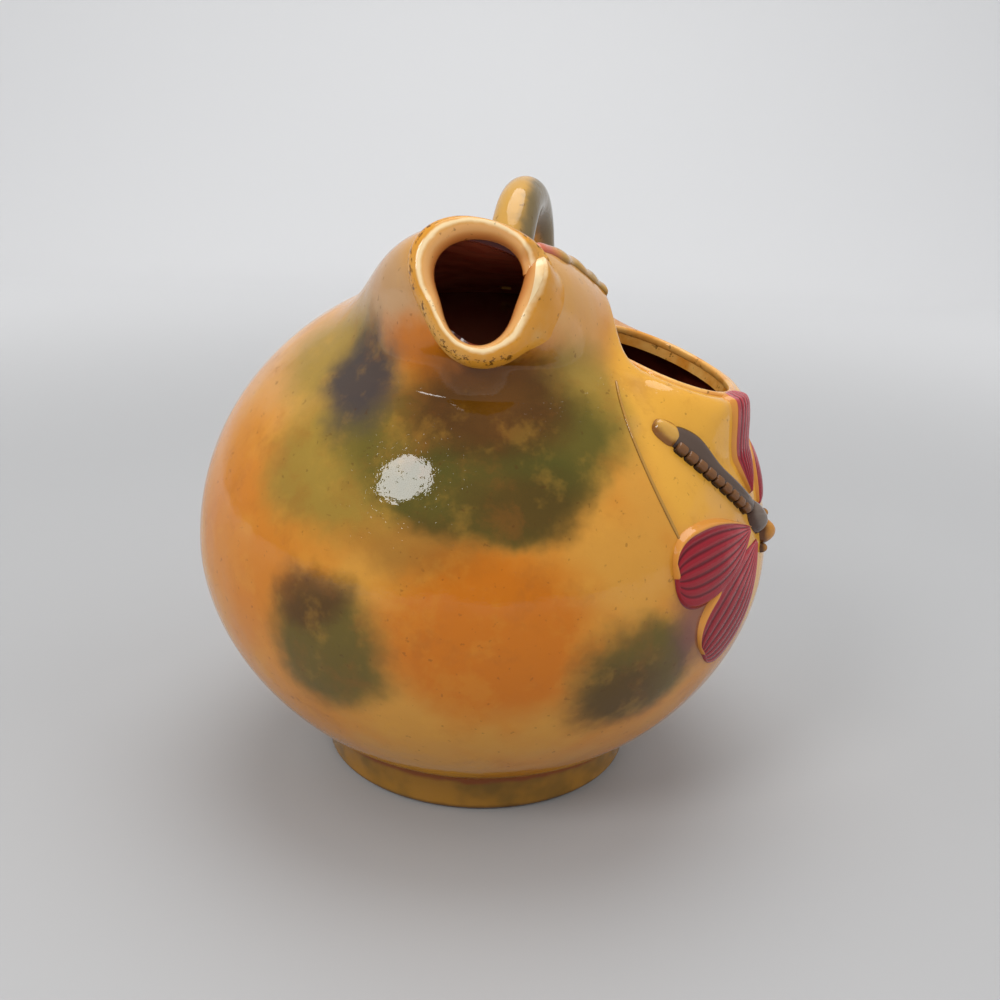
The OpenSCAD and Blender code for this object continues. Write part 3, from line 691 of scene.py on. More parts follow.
def lip_glaze():
    """Golden glaze outside, peach inside the mouth, a painted cream highlight along the crest, with brown
    specks outside.
    """
    m = Shade("lip_glaze")
    outer = m.value("outer")
    golden = m.patches(90.0, 0.4, 0.68, srgb(206, 140, 44), srgb(206, 152, 74))
    colour = m.mix(m.step(outer, -0.05, -0.4), golden, srgb(222, 164, 98))
    colour = m.mix(m.step(outer, -0.6, -1.0, 0.7), colour, srgb(200, 112, 44))
    # Painted highlight: a cream line along the crest
    crest = m.step(m.math("ABSOLUTE", m.math("ADD", outer, m.drift(0.5, 140.0))), 0.3, 0.04, 0.9)
    colour = m.mix(crest, colour, tint("cream"))
    band = m.math("MULTIPLY", m.step(outer, 0.42, 0.6), m.step(outer, 1.0, 0.85))
    flecks = m.math("MULTIPLY", m.step(m.noise(640.0, 3.0, 0.7), 0.52, 0.6, 0.85), band)
    colour = m.mix(flecks, colour, tint("brown"))
    return m.glaze(m.specks(colour, 500.0, 0.66, 0.74, 0.5, 2.0), waves=0.5 * MM)


def edge_glaze(name, ground, second):
    """Glaze of two close colours in patches, with a few brown specks."""
    m = Shade(name)
    colour = m.patches(80.0, 0.38, 0.66, ground, second)
    return m.glaze(m.specks(colour, 380.0, 0.6, 0.7, 0.7, rough=0.65), waves=0.6 * MM)


def seam_glaze():
    """Tan glaze, red at the coil's tucked end, and olive brown low on the ridge's sides as painted shade at
    its foot.
    """
    m = Shade("seam_glaze")
    colour = m.patches(120.0, 0.38, 0.66, srgb(198, 148, 82), srgb(176, 136, 62))
    # Painted shade: darker olive brown where the ridge meets the flank
    colour = m.mix(m.step(m.value("crown"), 0.7, 0.1, 0.6), colour, srgb(128, 98, 44))
    colour = m.mix(m.step(m.value("along"), 0.2, 0.06, 0.75), colour, srgb(188, 78, 70))
    return m.glaze(m.specks(colour, 380.0, 0.6, 0.7, 0.6, rough=0.65), waves=0.4 * MM)


def handle_glaze():
    """Ochre glaze that turns grey green on the handle's right side and towards its roots."""
    m = Shade("handle_glaze")
    turn = sizes().handle_turn
    side = m.vector("DOT_PRODUCT", m.warped(10 * MM, 60.0), (math.cos(turn), -math.sin(turn), 0.0))
    ground = m.patches(60.0, 0.4, 0.65, srgb(194, 148, 70), srgb(172, 132, 62))
    colour = m.mix(m.step(side, 0.0, 5 * MM, 0.9), ground, srgb(98, 88, 62))
    colour = m.mix(m.step(m.height(), 135 * MM, 105 * MM, 0.8), colour, tint("olive"))
    return m.glaze(m.specks(colour, 400.0, 0.64, 0.72, 0.5))


def wing_glaze():
    """Crimson glaze, paler towards one end (on the upper wings a painted highlight), with dark veins, a
    golden margin and a purple foot.
    """
    m = Shade("wing_glaze")
    drift = m.drift(0.9, 130.0, 0.6)
    pale = m.step(m.math("ADD", m.value("pale"), drift), 0.35, 1.0, 0.8)
    colour = m.mix(pale, tint("crimson"), srgb(188, 76, 80))
    vein = m.math("ADD", m.value("vein"), m.math("MULTIPLY", drift, 0.4))
    colour = m.mix(m.step(vein, 0.3, 1.0, 0.85), colour, tint("wine"))
    colour = m.mix(m.step(m.value("skirt"), 0.1, 0.9, 0.8), colour, srgb(112, 50, 58))
    colour = m.mix(m.step(m.value("margin"), 0.2, 0.7, 0.95), colour, tint("straw"))
    return m.glaze(colour, waves=0.3 * MM)


def relief_glaze(name, high, low):
    """Glaze that is pale on a relief's crown and dark at its foot: a painted highlight on the crown and
    painted shade at the foot.
    """
    m = Shade(name)
    crown = m.math("ADD", m.value("crown"), m.drift(0.5, 260.0))
    return m.glaze(m.mix(m.step(crown, 0.25, 0.8), low, high), waves=0.3 * MM)


def outer_skin():
    """Grid of the hood's outer skin: rows from the joint to the neck's foot, then from there to the mouth."""
    phi = circle(COLUMNS)[None, :]
    share = np.linspace(0, 1, SHOULDER_ROWS, endpoint=False)[:, None]
    z = BOWL_TOP + (neck_foot(phi)[..., 2] - BOWL_TOP) * share
    neck = neck_points(phi, np.linspace(0, 1, NECK_ROWS)[:, None])
    return np.concatenate([pressed(on_globe(phi, z)), neck])


def handle_lines():
    """Middle line of the handle, two bends that meet at its farthest point.

    Given are that point's distance and height, the upper bend's angle at its root, and the lower bend's
    radius and angle.
    """
    s = sizes()
    reach = s.body_radius + s.handle_reach
    level = s.waist_height + s.crown_rise + s.handle_rise - s.handle_bend
    swing = np.radians(np.linspace(100, 180, 4001))
    x = reach - s.handle_bend + s.handle_bend * np.cos(swing)
    z = level + s.handle_bend * np.sin(swing)
    top = swing[np.argmax(x < globe_radius(z, s.wall / 2))]
    low_z = s.waist_height + s.lower_root_rise
    side = reach - float(globe_radius(low_z, s.wall / 2))
    fall = level - low_z
    low_bend = (side ** 2 + fall ** 2) / (2 * side)
    return reach, level, top, low_bend, math.asin(fall / low_bend)


def handle_plane(flat):
    """Plane points of the handle (distance behind the axis, height) as points in space."""
    turn = sizes().handle_turn
    return stacked(flat[..., 0] * math.sin(turn), flat[..., 0] * math.cos(turn), flat[..., 1])


def bend_points(angle, bend, inset=0.0):
    """Plane points at angles of one of the handle's bends, at its middle line or inside it."""
    reach, level, *_ = handle_lines()
    return np.array([reach - bend, level]) + (bend - inset) * heading(angle)


def handle_path(steps=170):
    """Plane points and outward directions along the handle, from its upper root to its lower one."""
    _, _, top, low_bend, sweep = handle_lines()
    upper = np.linspace(top + PAST_TOP, 0, steps)
    lower = -np.linspace(0, sweep + PAST_LOW, steps // 2)[1:]
    middle = np.concatenate([bend_points(upper, sizes().handle_bend), bend_points(lower, low_bend)])
    return middle, heading(np.concatenate([upper, lower]))


def handle_rays(facing, sides):
    """Directions round the handle's middle line, starting from its outward directions."""
    turn = sizes().handle_turn
    square = np.array([math.cos(turn), -math.sin(turn), 0])
    a = circle(sides)[:, None]
    return handle_plane(facing)[..., None, :] * np.cos(a) + square * np.sin(a)


def collar_rings(middle, facing, ahead, root, rows=22, sides=64):
    """Flared collar: for each angle round the handle, a cubic from the handle's side to the globe's skin.

    It starts along the handle's own direction and ends along the skin, away from the root.
    """
    s = sizes()
    ray = handle_rays(facing, sides)
    start = handle_plane(middle) + ray * (s.handle_radius - COLLAR_LAP)
    middle_root = handle_plane(root)
    waist = np.array([0, 0, s.waist_height])
    radii = np.array([s.body_radius, s.body_radius, s.crown_rise])
    wide = middle_root + ray * (s.handle_radius + s.collar_spread)
    end = waist + (wide - waist) / np.linalg.norm((wide - waist) / radii, axis=-1, keepdims=True)
    normal = unit((end - waist) / radii ** 2)
    away = unit(end - middle_root - normal * np.sum((end - middle_root) * normal, -1, keepdims=True))
    t = np.linspace(0, 1, rows)[:, None, None]
    leave, arrive = handle_plane(ahead) * s.collar_length, away * s.collar_spread * COLLAR_FLARE
    return cubic(start, leave, end - normal * COLLAR_SUNK, arrive, t)


def fly_points(u, v, height):
    """Points over the skin: u runs forward round the globe from the thorax, v runs up, height is outward."""
    s = sizes()
    u, v, height = np.broadcast_arrays(u, v, height)
    phi = s.fly_turn - u / s.body_radius
    z = s.waist_height + s.fly_rise + v
    return pressed(on_globe(phi, z)) + globe_normal(phi, z) * height[..., None]


def fly_axes():
    """Directions on the skin: along the abdomen to the tail, and square to it on the lower side."""
    climb = sizes().abdomen_climb
    return heading(climb), heading(climb - math.pi / 2)


def sprig_grid(start, end, width, widest, blunt, steps, sides, shift=0.0):
    """Outline of a moulded piece from start to end, as places on the skin.

    The share t runs along it and c across it. The half width follows a blunt oval that is widest at one
    share. Across is square to the piece on the skin, whose level and rising directions stretch with height.
    """
    s = sizes()
    t = (0.5 - 0.497 * np.cos(np.linspace(0, math.pi, steps)))[:, None]
    c = np.linspace(-1, 1, sides)[None, :]
    skew = t ** (math.log(0.5) / math.log(widest))
    full = (1 - np.abs(2 * skew - 1) ** blunt) ** (1 / blunt)
    ahead = end - start
    middle = start + ahead * t
    z = s.waist_height + s.fly_rise + middle[:, 1:]
    level = globe_radius(z) / s.body_radius
    rising = np.hypot(1, globe_slope(z))
    across = np.concatenate([-rising ** 2 * ahead[1], level ** 2 * ahead[0]], 1)
    across = across / np.hypot(level * across[:, :1], rising * across[:, 1:])
    place = middle[:, None, :] + across[:, None, :] * (shift + width / 2 * full * c)[..., None]
    return np.broadcast_to(t, full.shape[:1] + c.shape[1:]), c, full, place


def sprig_object(name, place, height, values):
    """Relief piece over a grid of places on the skin, with a back sunk below the skin."""
    top = fly_points(place[..., 0], place[..., 1], height)
    back = fly_points(place[..., 0], place[..., 1], -RELIEF_SUNK)[:, ::-1]
    values = {key: np.broadcast_to(v, height.shape) for key, v in values.items()}
    doubled = {key: np.concatenate([v, v[:, ::-1]], axis=1) for key, v in values.items()}
    return ring_object(name, np.concatenate([top, back], axis=1), values=doubled, sharp=75)


def dome(name, start, end, width, relief, blunt=2.0, steps=40, sides=25, ridge=2.0, shift=0.0):
    """Plain moulded lump: its height follows the half width along it and a power curve across it."""
    _, c, full, place = sprig_grid(start, end, width, 0.5, blunt, steps, sides, shift)
    share = full * (1 - np.abs(c) ** ridge)
    return sprig_object(name, place, relief * share, {"crown": share})


def joined(name, objects):
    """One object from several."""
    with bpy.context.temp_override(active_object=objects[0], object=objects[0],
                                   selected_editable_objects=objects, selected_objects=objects):
        bpy.ops.object.join()
    objects[0].name = name
    return objects[0]


class JUG_OT_globe(bpy.types.Operator):
    """Builds the bowl and the hood with its filling opening"""
    bl_idname = "jug.globe"
    bl_label = "Globe"

    def execute(self, context):
        s = context.scene.jug_sizes
        glaze, inside = mottled_glaze(), inner_glaze()
        self.bowl(s, glaze, inside)
        self.hood(s, glaze, inside)
        return {"FINISHED"}

    def bowl(self, s, glaze, inside):
        """Revolves the wall's closed section: underside, outer skin, joint, inner skin and floor."""
        flat_rows, outer_rows, inner_rows = 6, 100, 64
        flat = np.linspace(0, 1, flat_rows + 1)
        floor_z = s.foot_recess + s.floor
        outer_z = np.linspace(s.foot_recess, BOWL_TOP, outer_rows)
        inner_z = np.linspace(BOWL_TOP, floor_z, inner_rows)
        outer, inner = globe_radius(outer_z), globe_radius(inner_z, s.wall)
        r = np.concatenate([outer[0] * flat[:-1], outer, inner, inner[-1] * flat[::-1][1:]])
        z = np.concatenate([np.full(flat_rows, s.foot_recess), outer_z, inner_z, np.full(flat_rows, floor_z)])
        faces = ring_quads(len(r), COLUMNS)
        inner_face = faces[:, 0] // COLUMNS >= flat_rows + outer_rows
        bowl = clay("globe_bowl", revolved(r, z).reshape(-1, 3), faces.tolist(), groups=inner_face)
        place(bowl, "mottled_glaze", (glaze, inside), "body_bowl")

    def passage(self, s, points):
        """Offsets of points from the passage's axis, and their size in the passage's radii near its mouth."""
        _, _, top, _, _ = handle_lines()
        root = handle_plane(bend_points(top, s.handle_bend))
        axis = handle_plane(heading(top + math.pi / 2))
        offset = points - root
        aside = offset - along(offset, axis)[:, None] * axis
        near = np.linalg.norm(offset, axis=1) < 4 * s.wall
        return aside, np.where(near, np.linalg.norm(aside, axis=1) / s.bore_radius, np.inf)

    def hood(self, s, glaze, inside):
        """Cuts the oval and the passage out of the outer skin and sets the inner skin one wall behind it.

        The wall is square to the skin, but turns to the opening's axis beside the oval, so that the cut is
        even. Points inside either hole move to its edge, and faces with all four corners inside are left out.
        """
        skin = outer_skin()
        faces = ring_quads(*skin.shape[:2])
        points = skin.reshape(-1, 3)
        around = np.roll(skin, -1, axis=1) - np.roll(skin, 1, axis=1)
        inward = -unit(np.cross(around, np.gradient(skin, axis=0))).reshape(-1, 3)
        middle, out, down = filler_axes()
        offset = points - middle
        oval = np.hypot(along(offset, down) / s.filler_half_slope, offset[:, 1] / s.filler_half_width)
        aside, bore = self.passage(s, points)
        in_oval, in_bore = oval < 1, bore < 1
        points = np.where(in_oval[:, None], middle + offset / np.maximum(oval, 1e-6)[:, None], points)
        grown = np.where(in_bore, 1 / np.maximum(bore, 1e-6) - 1, 0)
        points = points + aside * grown[:, None]
        gone = in_oval[faces].all(axis=1) | in_bore[faces].all(axis=1)
        beside = (ease((1 + CUT_TURN - oval) / CUT_TURN) * (points[:, 0] > 0))[:, None]
        inward = unit(inward * (1 - beside) - out * beside)
        both = np.concatenate([points, points + inward * s.wall])

        outer = faces[~gone]
        edges = np.stack([outer, np.roll(outer, -1, axis=1)], -1).reshape(-1, 2)
        codes = np.sort(edges, axis=1) @ np.array([len(points), 1])
        _, first, count = np.unique(codes, return_index=True, return_counts=True)
        edge = edges[first[count == 1]]
        rim = np.concatenate([edge[:, ::-1], edge + len(points)], axis=1)
        in_throat = np.linalg.norm(points[edge[:, 0]] - mouth_axes()[0], axis=1) < THROAT_RADIUS
        corners = np.concatenate([outer, outer[:, ::-1] + len(points), rim])
        used, numbers = np.unique(corners, return_inverse=True)
        groups = np.concatenate([np.zeros(len(outer)), np.ones(len(outer)), 2 + in_throat])
        hood = clay("shoulder_skin", both[used], numbers.reshape(-1, 4).tolist(), groups=groups)
        cut = edge_glaze("cut_glaze", srgb(206, 132, 44), srgb(226, 172, 92))
        # Dark red brown on the cut faces in the throat, darker than the inner glaze: painted shade inside the
        # mouth
        throat = edge_glaze("throat_glaze", srgb(78, 28, 18), srgb(60, 20, 14))
        place(hood, "mottled_glaze", (glaze, inside, cut, throat), "shoulder_hood")


class JUG_OT_foot(bpy.types.Operator):
    """Builds the foot ring"""
    bl_idname = "jug.foot"
    bl_label = "Foot"

    def execute(self, context):
        """Revolves a closed section: rounded lower edges, a hollow side and the bowl's own curve on top."""
        s = context.scene.jug_sizes
        round_edge = 2.5 * MM
        a = np.linspace(-math.pi / 2, 0, 9)
        lower = stacked(s.foot_radius - round_edge * (1 - np.cos(a)), round_edge * (1 + np.sin(a)))
        top = float(globe_radius(s.foot_height))
        t = np.linspace(0, 1, 12)[1:-1]
        side = stacked(s.foot_radius + (top - s.foot_radius) * t ** 2,
                       round_edge + (s.foot_height - round_edge) * t)
        upper_z = np.linspace(s.foot_height, s.foot_recess, 8)
        upper = stacked(globe_radius(upper_z), upper_z)
        inner = s.foot_radius - s.foot_width
        back = np.array([[inner, s.foot_recess], [inner, 1.5 * MM], [inner + 0.4 * MM, 0.5 * MM],
                         [inner + 1.2 * MM, 0]])
        section = np.concatenate([lower, side, upper, back])
        foot = ring_object("foot", revolved(*section.T), loop=True)
        place(foot, "foot_glaze", (foot_glaze(),), "foot_ring")
        return {"FINISHED"}


class JUG_OT_spout(bpy.types.Operator):
    """Builds the coil round the mouth, the fold on its right and the crimped seam"""
    bl_idname = "jug.spout"
    bl_label = "Spout"

    def execute(self, context):
        s = context.scene.jug_sizes
        glaze = lip_glaze()
        self.lip(s, glaze)
        self.fold(s, glaze)
        self.seam()
        return {"FINISHED"}

    def coil(self, name, angle, across, forward, outer):
        """Sweeps a section, given by its radii and its distances in front of the mouth, round the mouth."""
        middle, out, _ = mouth_axes()
        rings = swept(middle, mouth_ray(angle), across, out, forward)
        return ring_object(name, rings, values={"outer": outer})

    def lip_section(self, angle, height):
        """Rounded section: a quarter of an ellipse inside the crest and one outside it, with a sunk back."""
        a = circle(40)[None, :]
        crest = mouth_outline(MOUTH_CREST, angle)[:, None]
        inside = crest - mouth_outline(MOUTH_HOLE, angle)[:, None]
        outside = mouth_outline(MOUTH_EDGE, angle)[:, None] - crest
        across = crest + np.cos(a) * np.where(np.cos(a) > 0, outside, inside)
        return a, across, half_ovals(a, height[:, None], LIP_SUNK)

    def fold_section(self, t, angle, height):
        """The lip's section with a crisp ridge, whose outer side becomes a cubic that runs out on the flank.

        The inner side keeps the lip's height but draws in towards the ridge by a power of the cosine. The
        ridge leans out from the mouth towards the tip.
        """
        a, across, forward = self.lip_section(angle, height)
        share = ease(t / 0.35)[:, None]
        crest = (mouth_outline(MOUTH_CREST, angle) + FOLD_LEAN * ease((t - 0.3) / 0.6))[:, None]
        inside = crest - mouth_outline(MOUTH_HOLE, angle)[:, None]
        bevel = crest - inside * np.abs(np.cos(a)) ** 1.6
        across = np.where((a > math.pi / 2) & (a < math.pi), across + (bevel - across) * share, across)
        reach = FOLD_REACH * share - FOLD_TIP_LOSS * ease((t - 0.7) / 0.3)[:, None]
        far = mouth_outline(MOUTH_EDGE, angle)[:, None] + reach
        high = height[:, None]
        q = np.clip(1 - a / (math.pi / 2), 0, 1)
        slope_across = cubic(crest, 1.3 * (far - crest), far, 4.5 * MM, q)
        slope_forward = cubic(high, -0.3 * high, -FOLD_DEPTH, -6 * MM, q)
        outer = share * (a < math.pi / 2)
        back = share * (a >= 3 * math.pi / 2) * np.cos(a)
        across = across + (slope_across - across) * outer
        return a, crest, across, forward + (slope_forward - forward) * outer - FOLD_DEPTH * back

    def lip(self, s, glaze):
        """Coil from behind the fold's tip round to the fold's start, thinner at its tucked end."""
        angle = np.linspace(FOLD_TIP - LIP_LAP, 2 * math.pi + FOLD_START, 240)
        thin = 1 - 0.6 * ease(1 - (angle - FOLD_TIP) / TUCK_TURN)
        hand = 1 + 0.03 * np.sin(5 * angle + 1) + 0.02 * np.sin(11 * angle)
        a, across, forward = self.lip_section(angle, s.lip_height * thin * hand)
        lip = self.coil("mouth_coil", angle, across, forward, np.cos(a))
        place(lip, "lip_glaze", (glaze,), "spout_lip")

    def fold(self, s, glaze):
        """Fold from the lip's lower end up to a rounded tip, rising on the way."""
        t = np.linspace(0, 1, 120) ** 0.8
        angle = FOLD_START + (FOLD_TIP - FOLD_START) * t
        tip = blunt_ends(t, 14, 0.004)[:, None]
        height = s.lip_height + FOLD_LIFT * ease((t - 0.45) / 0.35)
        a, crest, across, forward = self.fold_section(t, angle, height)
        across = crest + (across - crest) * tip
        fold = self.coil("mouth_fold", angle, across, forward * tip, np.minimum(np.cos(a), 0.4))
        place(fold, "lip_glaze", (glaze,), "lip_fold")

    def seam(self):
        """Sweeps two half ovals down the neck's flank, pinched five times and wandering a little sideways."""
        t = np.linspace(0, 1, 150)
        phi, climb = np.radians(38 - 30 * t), 0.965 - 0.665 * t
        line = neck_points(phi, climb)
        out = neck_normals(phi, climb)
        side = np.cross(out, unit(np.gradient(line, axis=0)))
        pinch = 0.88 + 0.12 * np.cos(10 * math.pi * t)
        size = (pinch * blunt_ends(2 * t - 1, 8, 0.01))[:, None]
        a = circle(24)[None, :]
        high = half_ovals(a, SEAM_HEIGHT, SEAM_SUNK) * size
        wide = np.cos(a) * SEAM_HALF_WIDTH * size + SEAM_WANDER * np.sin(7 * math.pi * t)[:, None]
        rings = swept(line, side, wide, out, high)
        seam = ring_object("neck_seam", rings, values={"along": t[:, None], "crown": np.sin(a)})
        place(seam, "seam_glaze", (seam_glaze(),), "crimped_seam")


class JUG_OT_opening(bpy.types.Operator):
    """Builds the rounded edge of the filling opening"""
    bl_idname = "jug.opening"
    bl_label = "Opening"

    def execute(self, context):
        """Sweeps an oval section along the opening's edge, thinning out towards the neck."""
        s = context.scene.jug_sizes
        middle, out, down = filler_axes()
        axes = np.array([down, (0, 1.0, 0)])
        half = np.array([s.filler_half_slope, s.filler_half_width])
        t = np.linspace(1, -1, 200)
        round_oval = heading(RIM_SPAN * t)
        edge = middle + round_oval * half @ axes
        away = unit(round_oval / half) @ axes
        size = blunt_ends(t, 10, 0.02)[:, None]
        a = circle(28)[None, :]
        wide = (0.12 + 0.36 * np.cos(a)) * s.rim_width * size
        high = half_ovals(a, 0.7 * s.rim_height, RIM_SUNK) * size
        rim = ring_object("opening_edge", swept(edge, away, wide, out, high))
        glaze = edge_glaze("rim_glaze", srgb(226, 172, 92), srgb(212, 142, 58))
        place(rim, "rim_glaze", (glaze,), "filler_rim")
        return {"FINISHED"}


class JUG_OT_handle(bpy.types.Operator):
    """Builds the handle, its vent and its two collars"""
    bl_idname = "jug.handle"
    bl_label = "Handle"

    def execute(self, context):
        s = context.scene.jug_sizes
        glaze = handle_glaze()
        middle, facing = handle_path()
        rings = handle_plane(middle)[:, None, :] + s.handle_radius * handle_rays(facing, sides=48)
        handle = ring_object("loop_handle", rings)
        self.vent(s, handle)
        place(handle, "handle_glaze", (glaze,), "handle")

        _, _, top, low_bend, sweep = handle_lines()
        for name, node, bend, root, sign in (
                ("collar_top", "handle_collar_top", s.handle_bend, top, 1),
                ("collar_low", "handle_collar_low", low_bend, -sweep, -1)):
            begin = root - sign * s.collar_length / bend
            start, end = bend_points(begin, bend), bend_points(root, bend)
            ahead = heading(begin + sign * math.pi / 2)
            collar = ring_object(name, collar_rings(start, heading(begin), ahead, end))
            place(collar, "handle_glaze", (glaze,), node)
        return {"FINISHED"}

    def vent(self, s, handle):
        """Cuts the small finger vent into the handle's under side."""
        spot = Vector(handle_plane(bend_points(VENT_TURN, s.handle_bend, s.handle_radius)))
        axis = Vector(handle_plane(heading(VENT_TURN)))
        drill = bmesh.new()
        turn = Matrix.Translation(spot) @ axis.to_track_quat("Z", "Y").to_matrix().to_4x4()
        bmesh.ops.create_cone(drill, cap_ends=True, segments=32, radius1=VENT_RADIUS, radius2=VENT_RADIUS,
                              depth=VENT_DEPTH, matrix=turn)
        mesh = bpy.data.meshes.new("vent")
        drill.to_mesh(mesh)
        drill.free()
        cutter = bpy.data.objects.new("vent", mesh)
        bpy.context.scene.collection.objects.link(cutter)
        cut = handle.modifiers.new("vent", "BOOLEAN")
        cut.object = cutter
        cut.solver = "EXACT"
        mesh = bpy.data.meshes.new_from_object(handle.evaluated_get(bpy.context.evaluated_depsgraph_get()))
        mesh.set_sharp_from_angle(angle=math.radians(50))
        handle.modifiers.clear()
        handle.data = mesh
        bpy.data.objects.remove(cutter)


class JUG_OT_inside(bpy.types.Operator):
    """Glazes the partition, the draw tube and its saddle, which are kept from the frame"""
    bl_idname = "jug.inside"
    bl_label = "Inside"

    def execute(self, context):
        # The inner glaze brings the painted light of the spout's chamber onto whichever of these parts lie in
        # it
        glaze = bpy.data.materials["inner_glaze"]
        for node in ("spout_floor", "draw_tube", "tube_saddle"):
            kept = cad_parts[node]
            kept.data.materials.clear()
            kept.data.materials.append(glaze)
        return {"FINISHED"}


class JUG_OT_dragonfly(bpy.types.Operator):
    """Builds the dragonfly: body, blocks, tail, head, eyes and four wings"""
    bl_idname = "jug.dragonfly"
    bl_label = "Dragonfly"

    def execute(self, context):
        s = context.scene.jug_sizes
        line, square = fly_axes()
        end = s.abdomen_length - TAIL_GAP
        start, stop = line * (HALF_THORAX - 2 * MM), line * (end - TAIL_LENGTH + 3 * MM)
        abdomen = dome("abdomen_back", start, stop, 6.8 * MM, 2.7 * MM, blunt=6.0, steps=80, ridge=3.0,
                       shift=0.5 * MM)
        # Mauve back, dark brown at its foot as painted shade
        body = relief_glaze("abdomen_glaze", tint("mauve"), srgb(52, 34, 26))
        place(abdomen, "abdomen_glaze", (body,), "abdomen")
        self.blocks(line)
        # high and low: the crown's colour with its painted highlight, and the foot's colour with painted
        # shade
        for name, start, stop, width, relief, blunt, slot, high, low, material, node in (
                ("tail_bulb", end - TAIL_LENGTH, end, 7.2, 3.0, 2.8, "tail_glaze",
                 (198, 150, 70), (130, 84, 36), "tail_glaze", "tail_tip"),
                ("chest", -HALF_THORAX, HALF_THORAX, 10.0, 3.9, 2.4, "thorax_glaze",
                 (112, 98, 88), (70, 46, 34), "thorax_glaze", "thorax"),
                ("face", -HALF_THORAX, -HEAD_END, 9.4, 4.4, 2.0, "thorax_glaze",
                 (190, 130, 54), (96, 58, 28), "head_glaze", "head")):
            lump = dome(name, line * start, line * stop, width * MM, relief * MM, blunt=blunt)
            place(lump, slot, (relief_glaze(material, srgb(*high), srgb(*low)),), node)
        self.eyes(line, square)
        glaze = wing_glaze()
        for name, side, root, length, angle, width, border, bare, relief in (
                ("lower_hind", 1, 4, 44, -6, 24, 0.78, 0, 1.25),
                ("lower_fore", 1, -4.5, 44, -39, 29, 0.84, 0.55, 0.8),
                ("upper_hind", -1, 4, 26, 110, 22, 0.86, 0, 1.5),
                ("upper_fore", -1, -4.5, 30, 156, 15, 0.84, 0, 1)):
            start = square * (side * WING_OFFSET) + line * root * MM
            end = start + heading(math.radians(angle)) * length * MM
            height = relief * s.wing_relief
            wing = self.wing(f"{name}_wing", side, start, end, width * MM, border, bare, height)
            place(wing, "wing_glaze", (glaze,), f"wing_{name}")
        return {"FINISHED"}

    def blocks(self, line):
        """Row of square lumps along the abdomen's lower side."""
        lumps = []
        for i in range(BLOCK_COUNT):
            foot = line * (BLOCK_START + BLOCK_PITCH * i)
            lumps.append(dome(f"block_{i}", foot, foot + line * BLOCK_LENGTH, 3.6 * MM, 2.7 * MM, blunt=5.0,
                              steps=24, sides=21, ridge=4.0, shift=-2.0 * MM))
        # Pale crowns and dark feet: painted highlights on the blocks and painted shade between them
        glaze = relief_glaze("block_glaze", srgb(114, 76, 44), srgb(36, 20, 14))
        place(joined("abdomen_blocks", lumps), "abdomen_glaze", (glaze,), "abdomen_rings")

    def eyes(self, line, square):
        """Two small lumps, one on each side of the head."""
        lumps = []
        for side in (-1, 1):
            foot = square * (side * 4.2 * MM) - line * EYE_PLACE
            lumps.append(dome(f"eye_{side}", foot, foot + square * (side * 3.4 * MM), 3.4 * MM, 2.2 * MM,
                              steps=20, sides=15))
        # Pale crown as painted highlight, dark foot as painted shade
        glaze = relief_glaze("eye_glaze", srgb(160, 112, 54), srgb(84, 54, 28))
        place(joined("eye_pair", lumps), "eye_glaze", (glaze,), "eyes")

    def wing(self, name, side, start, end, width, border, bare, relief):
        """Moulded wing: a low dome with veins that fan out from its root, a raised margin and a dark skirt.

        A lower wing is paler towards its root and an upper one towards its tip, where the paleness is a
        painted highlight.
        """
        t, c, full, spot = sprig_grid(start, end, width + 1.0 * MM, 0.72, 2.4, 90, 91)
        rim = np.maximum(np.abs(c) * np.ones_like(t), np.abs(2 * t - 1) ** 6)
        fan = np.linspace(-0.62, 0.62, 6)
        veins = np.max(np.exp(-((c[..., None] - fan) / 0.06) ** 2), axis=-1)
        veins = veins * ease(t / 0.12) * ease((0.84 - rim) / 0.1)
        lead = ease((side * c + 0.15) / 0.4)
        lead = lead * (ease((t - bare) / 0.15) if bare else 1.0)
        margin = ease((rim - border) / 0.08) * lead
        bead = np.sin(math.pi * np.clip((rim - border + 0.02) / (1.02 - border), 0, 1)) * lead
        skirt = ease((rim - 0.9) / 0.1) * (1 - lead)
        swell = relief * (0.45 + 0.55 * full) * (1 - 0.45 * c ** 2) - 0.25 * MM * veins
        height = swell * (1 - ease((rim - 0.84) / 0.16)) + (0.7 + 0.2 * side) * MM * bead
        # On an upper wing the pale tip is a painted highlight
        values = {"pale": 1 - t if side > 0 else t, "vein": veins, "margin": margin, "skirt": skirt}
        return sprig_object(name, spot, height * ease(t / 0.04), values)


class JUG_OT_line(bpy.types.Operator):
    """Builds the slip line at the edge of the yellow panel"""
    bl_idname = "jug.line"
    bl_label = "Slip line"

    def execute(self, context):
        """Sweeps a low round section along a quadratic curve over the skin."""
        s = context.scene.jug_sizes
        line, _ = fly_axes()
        tail = line * s.abdomen_length
        a, b, c = (tail + np.array(p) * MM for p in ((6, 10), (18, 0), (1, -34)))
        t = np.linspace(0, 1, 120)[:, None]
        spot = a * (1 - t) ** 2 + b * 2 * t * (1 - t) + c * t ** 2
        ahead = unit((b - a) * (1 - t) + (c - b) * t)
        size = blunt_ends(2 * t - 1, 10, 0.02)
        angle = circle(14)[None, :]
        wide = np.cos(angle) * s.line_width / 2 * size
        high = half_ovals(angle, LINE_HEIGHT, LINE_SUNK) * size
        rings = fly_points(spot[:, :1] - ahead[:, 1:] * wide, spot[:, 1:] + ahead[:, :1] * wide, high)
        slip = ring_object("panel_line", rings, values={"crown": np.sin(angle)})
        # Olive gold line, darker at its foot: painted soft shadow beside it
        glaze = relief_glaze("line_slip", srgb(174, 128, 58), srgb(124, 88, 36))
        place(slip, "line_slip", (glaze,), "slip_line")
        return {"FINISHED"}


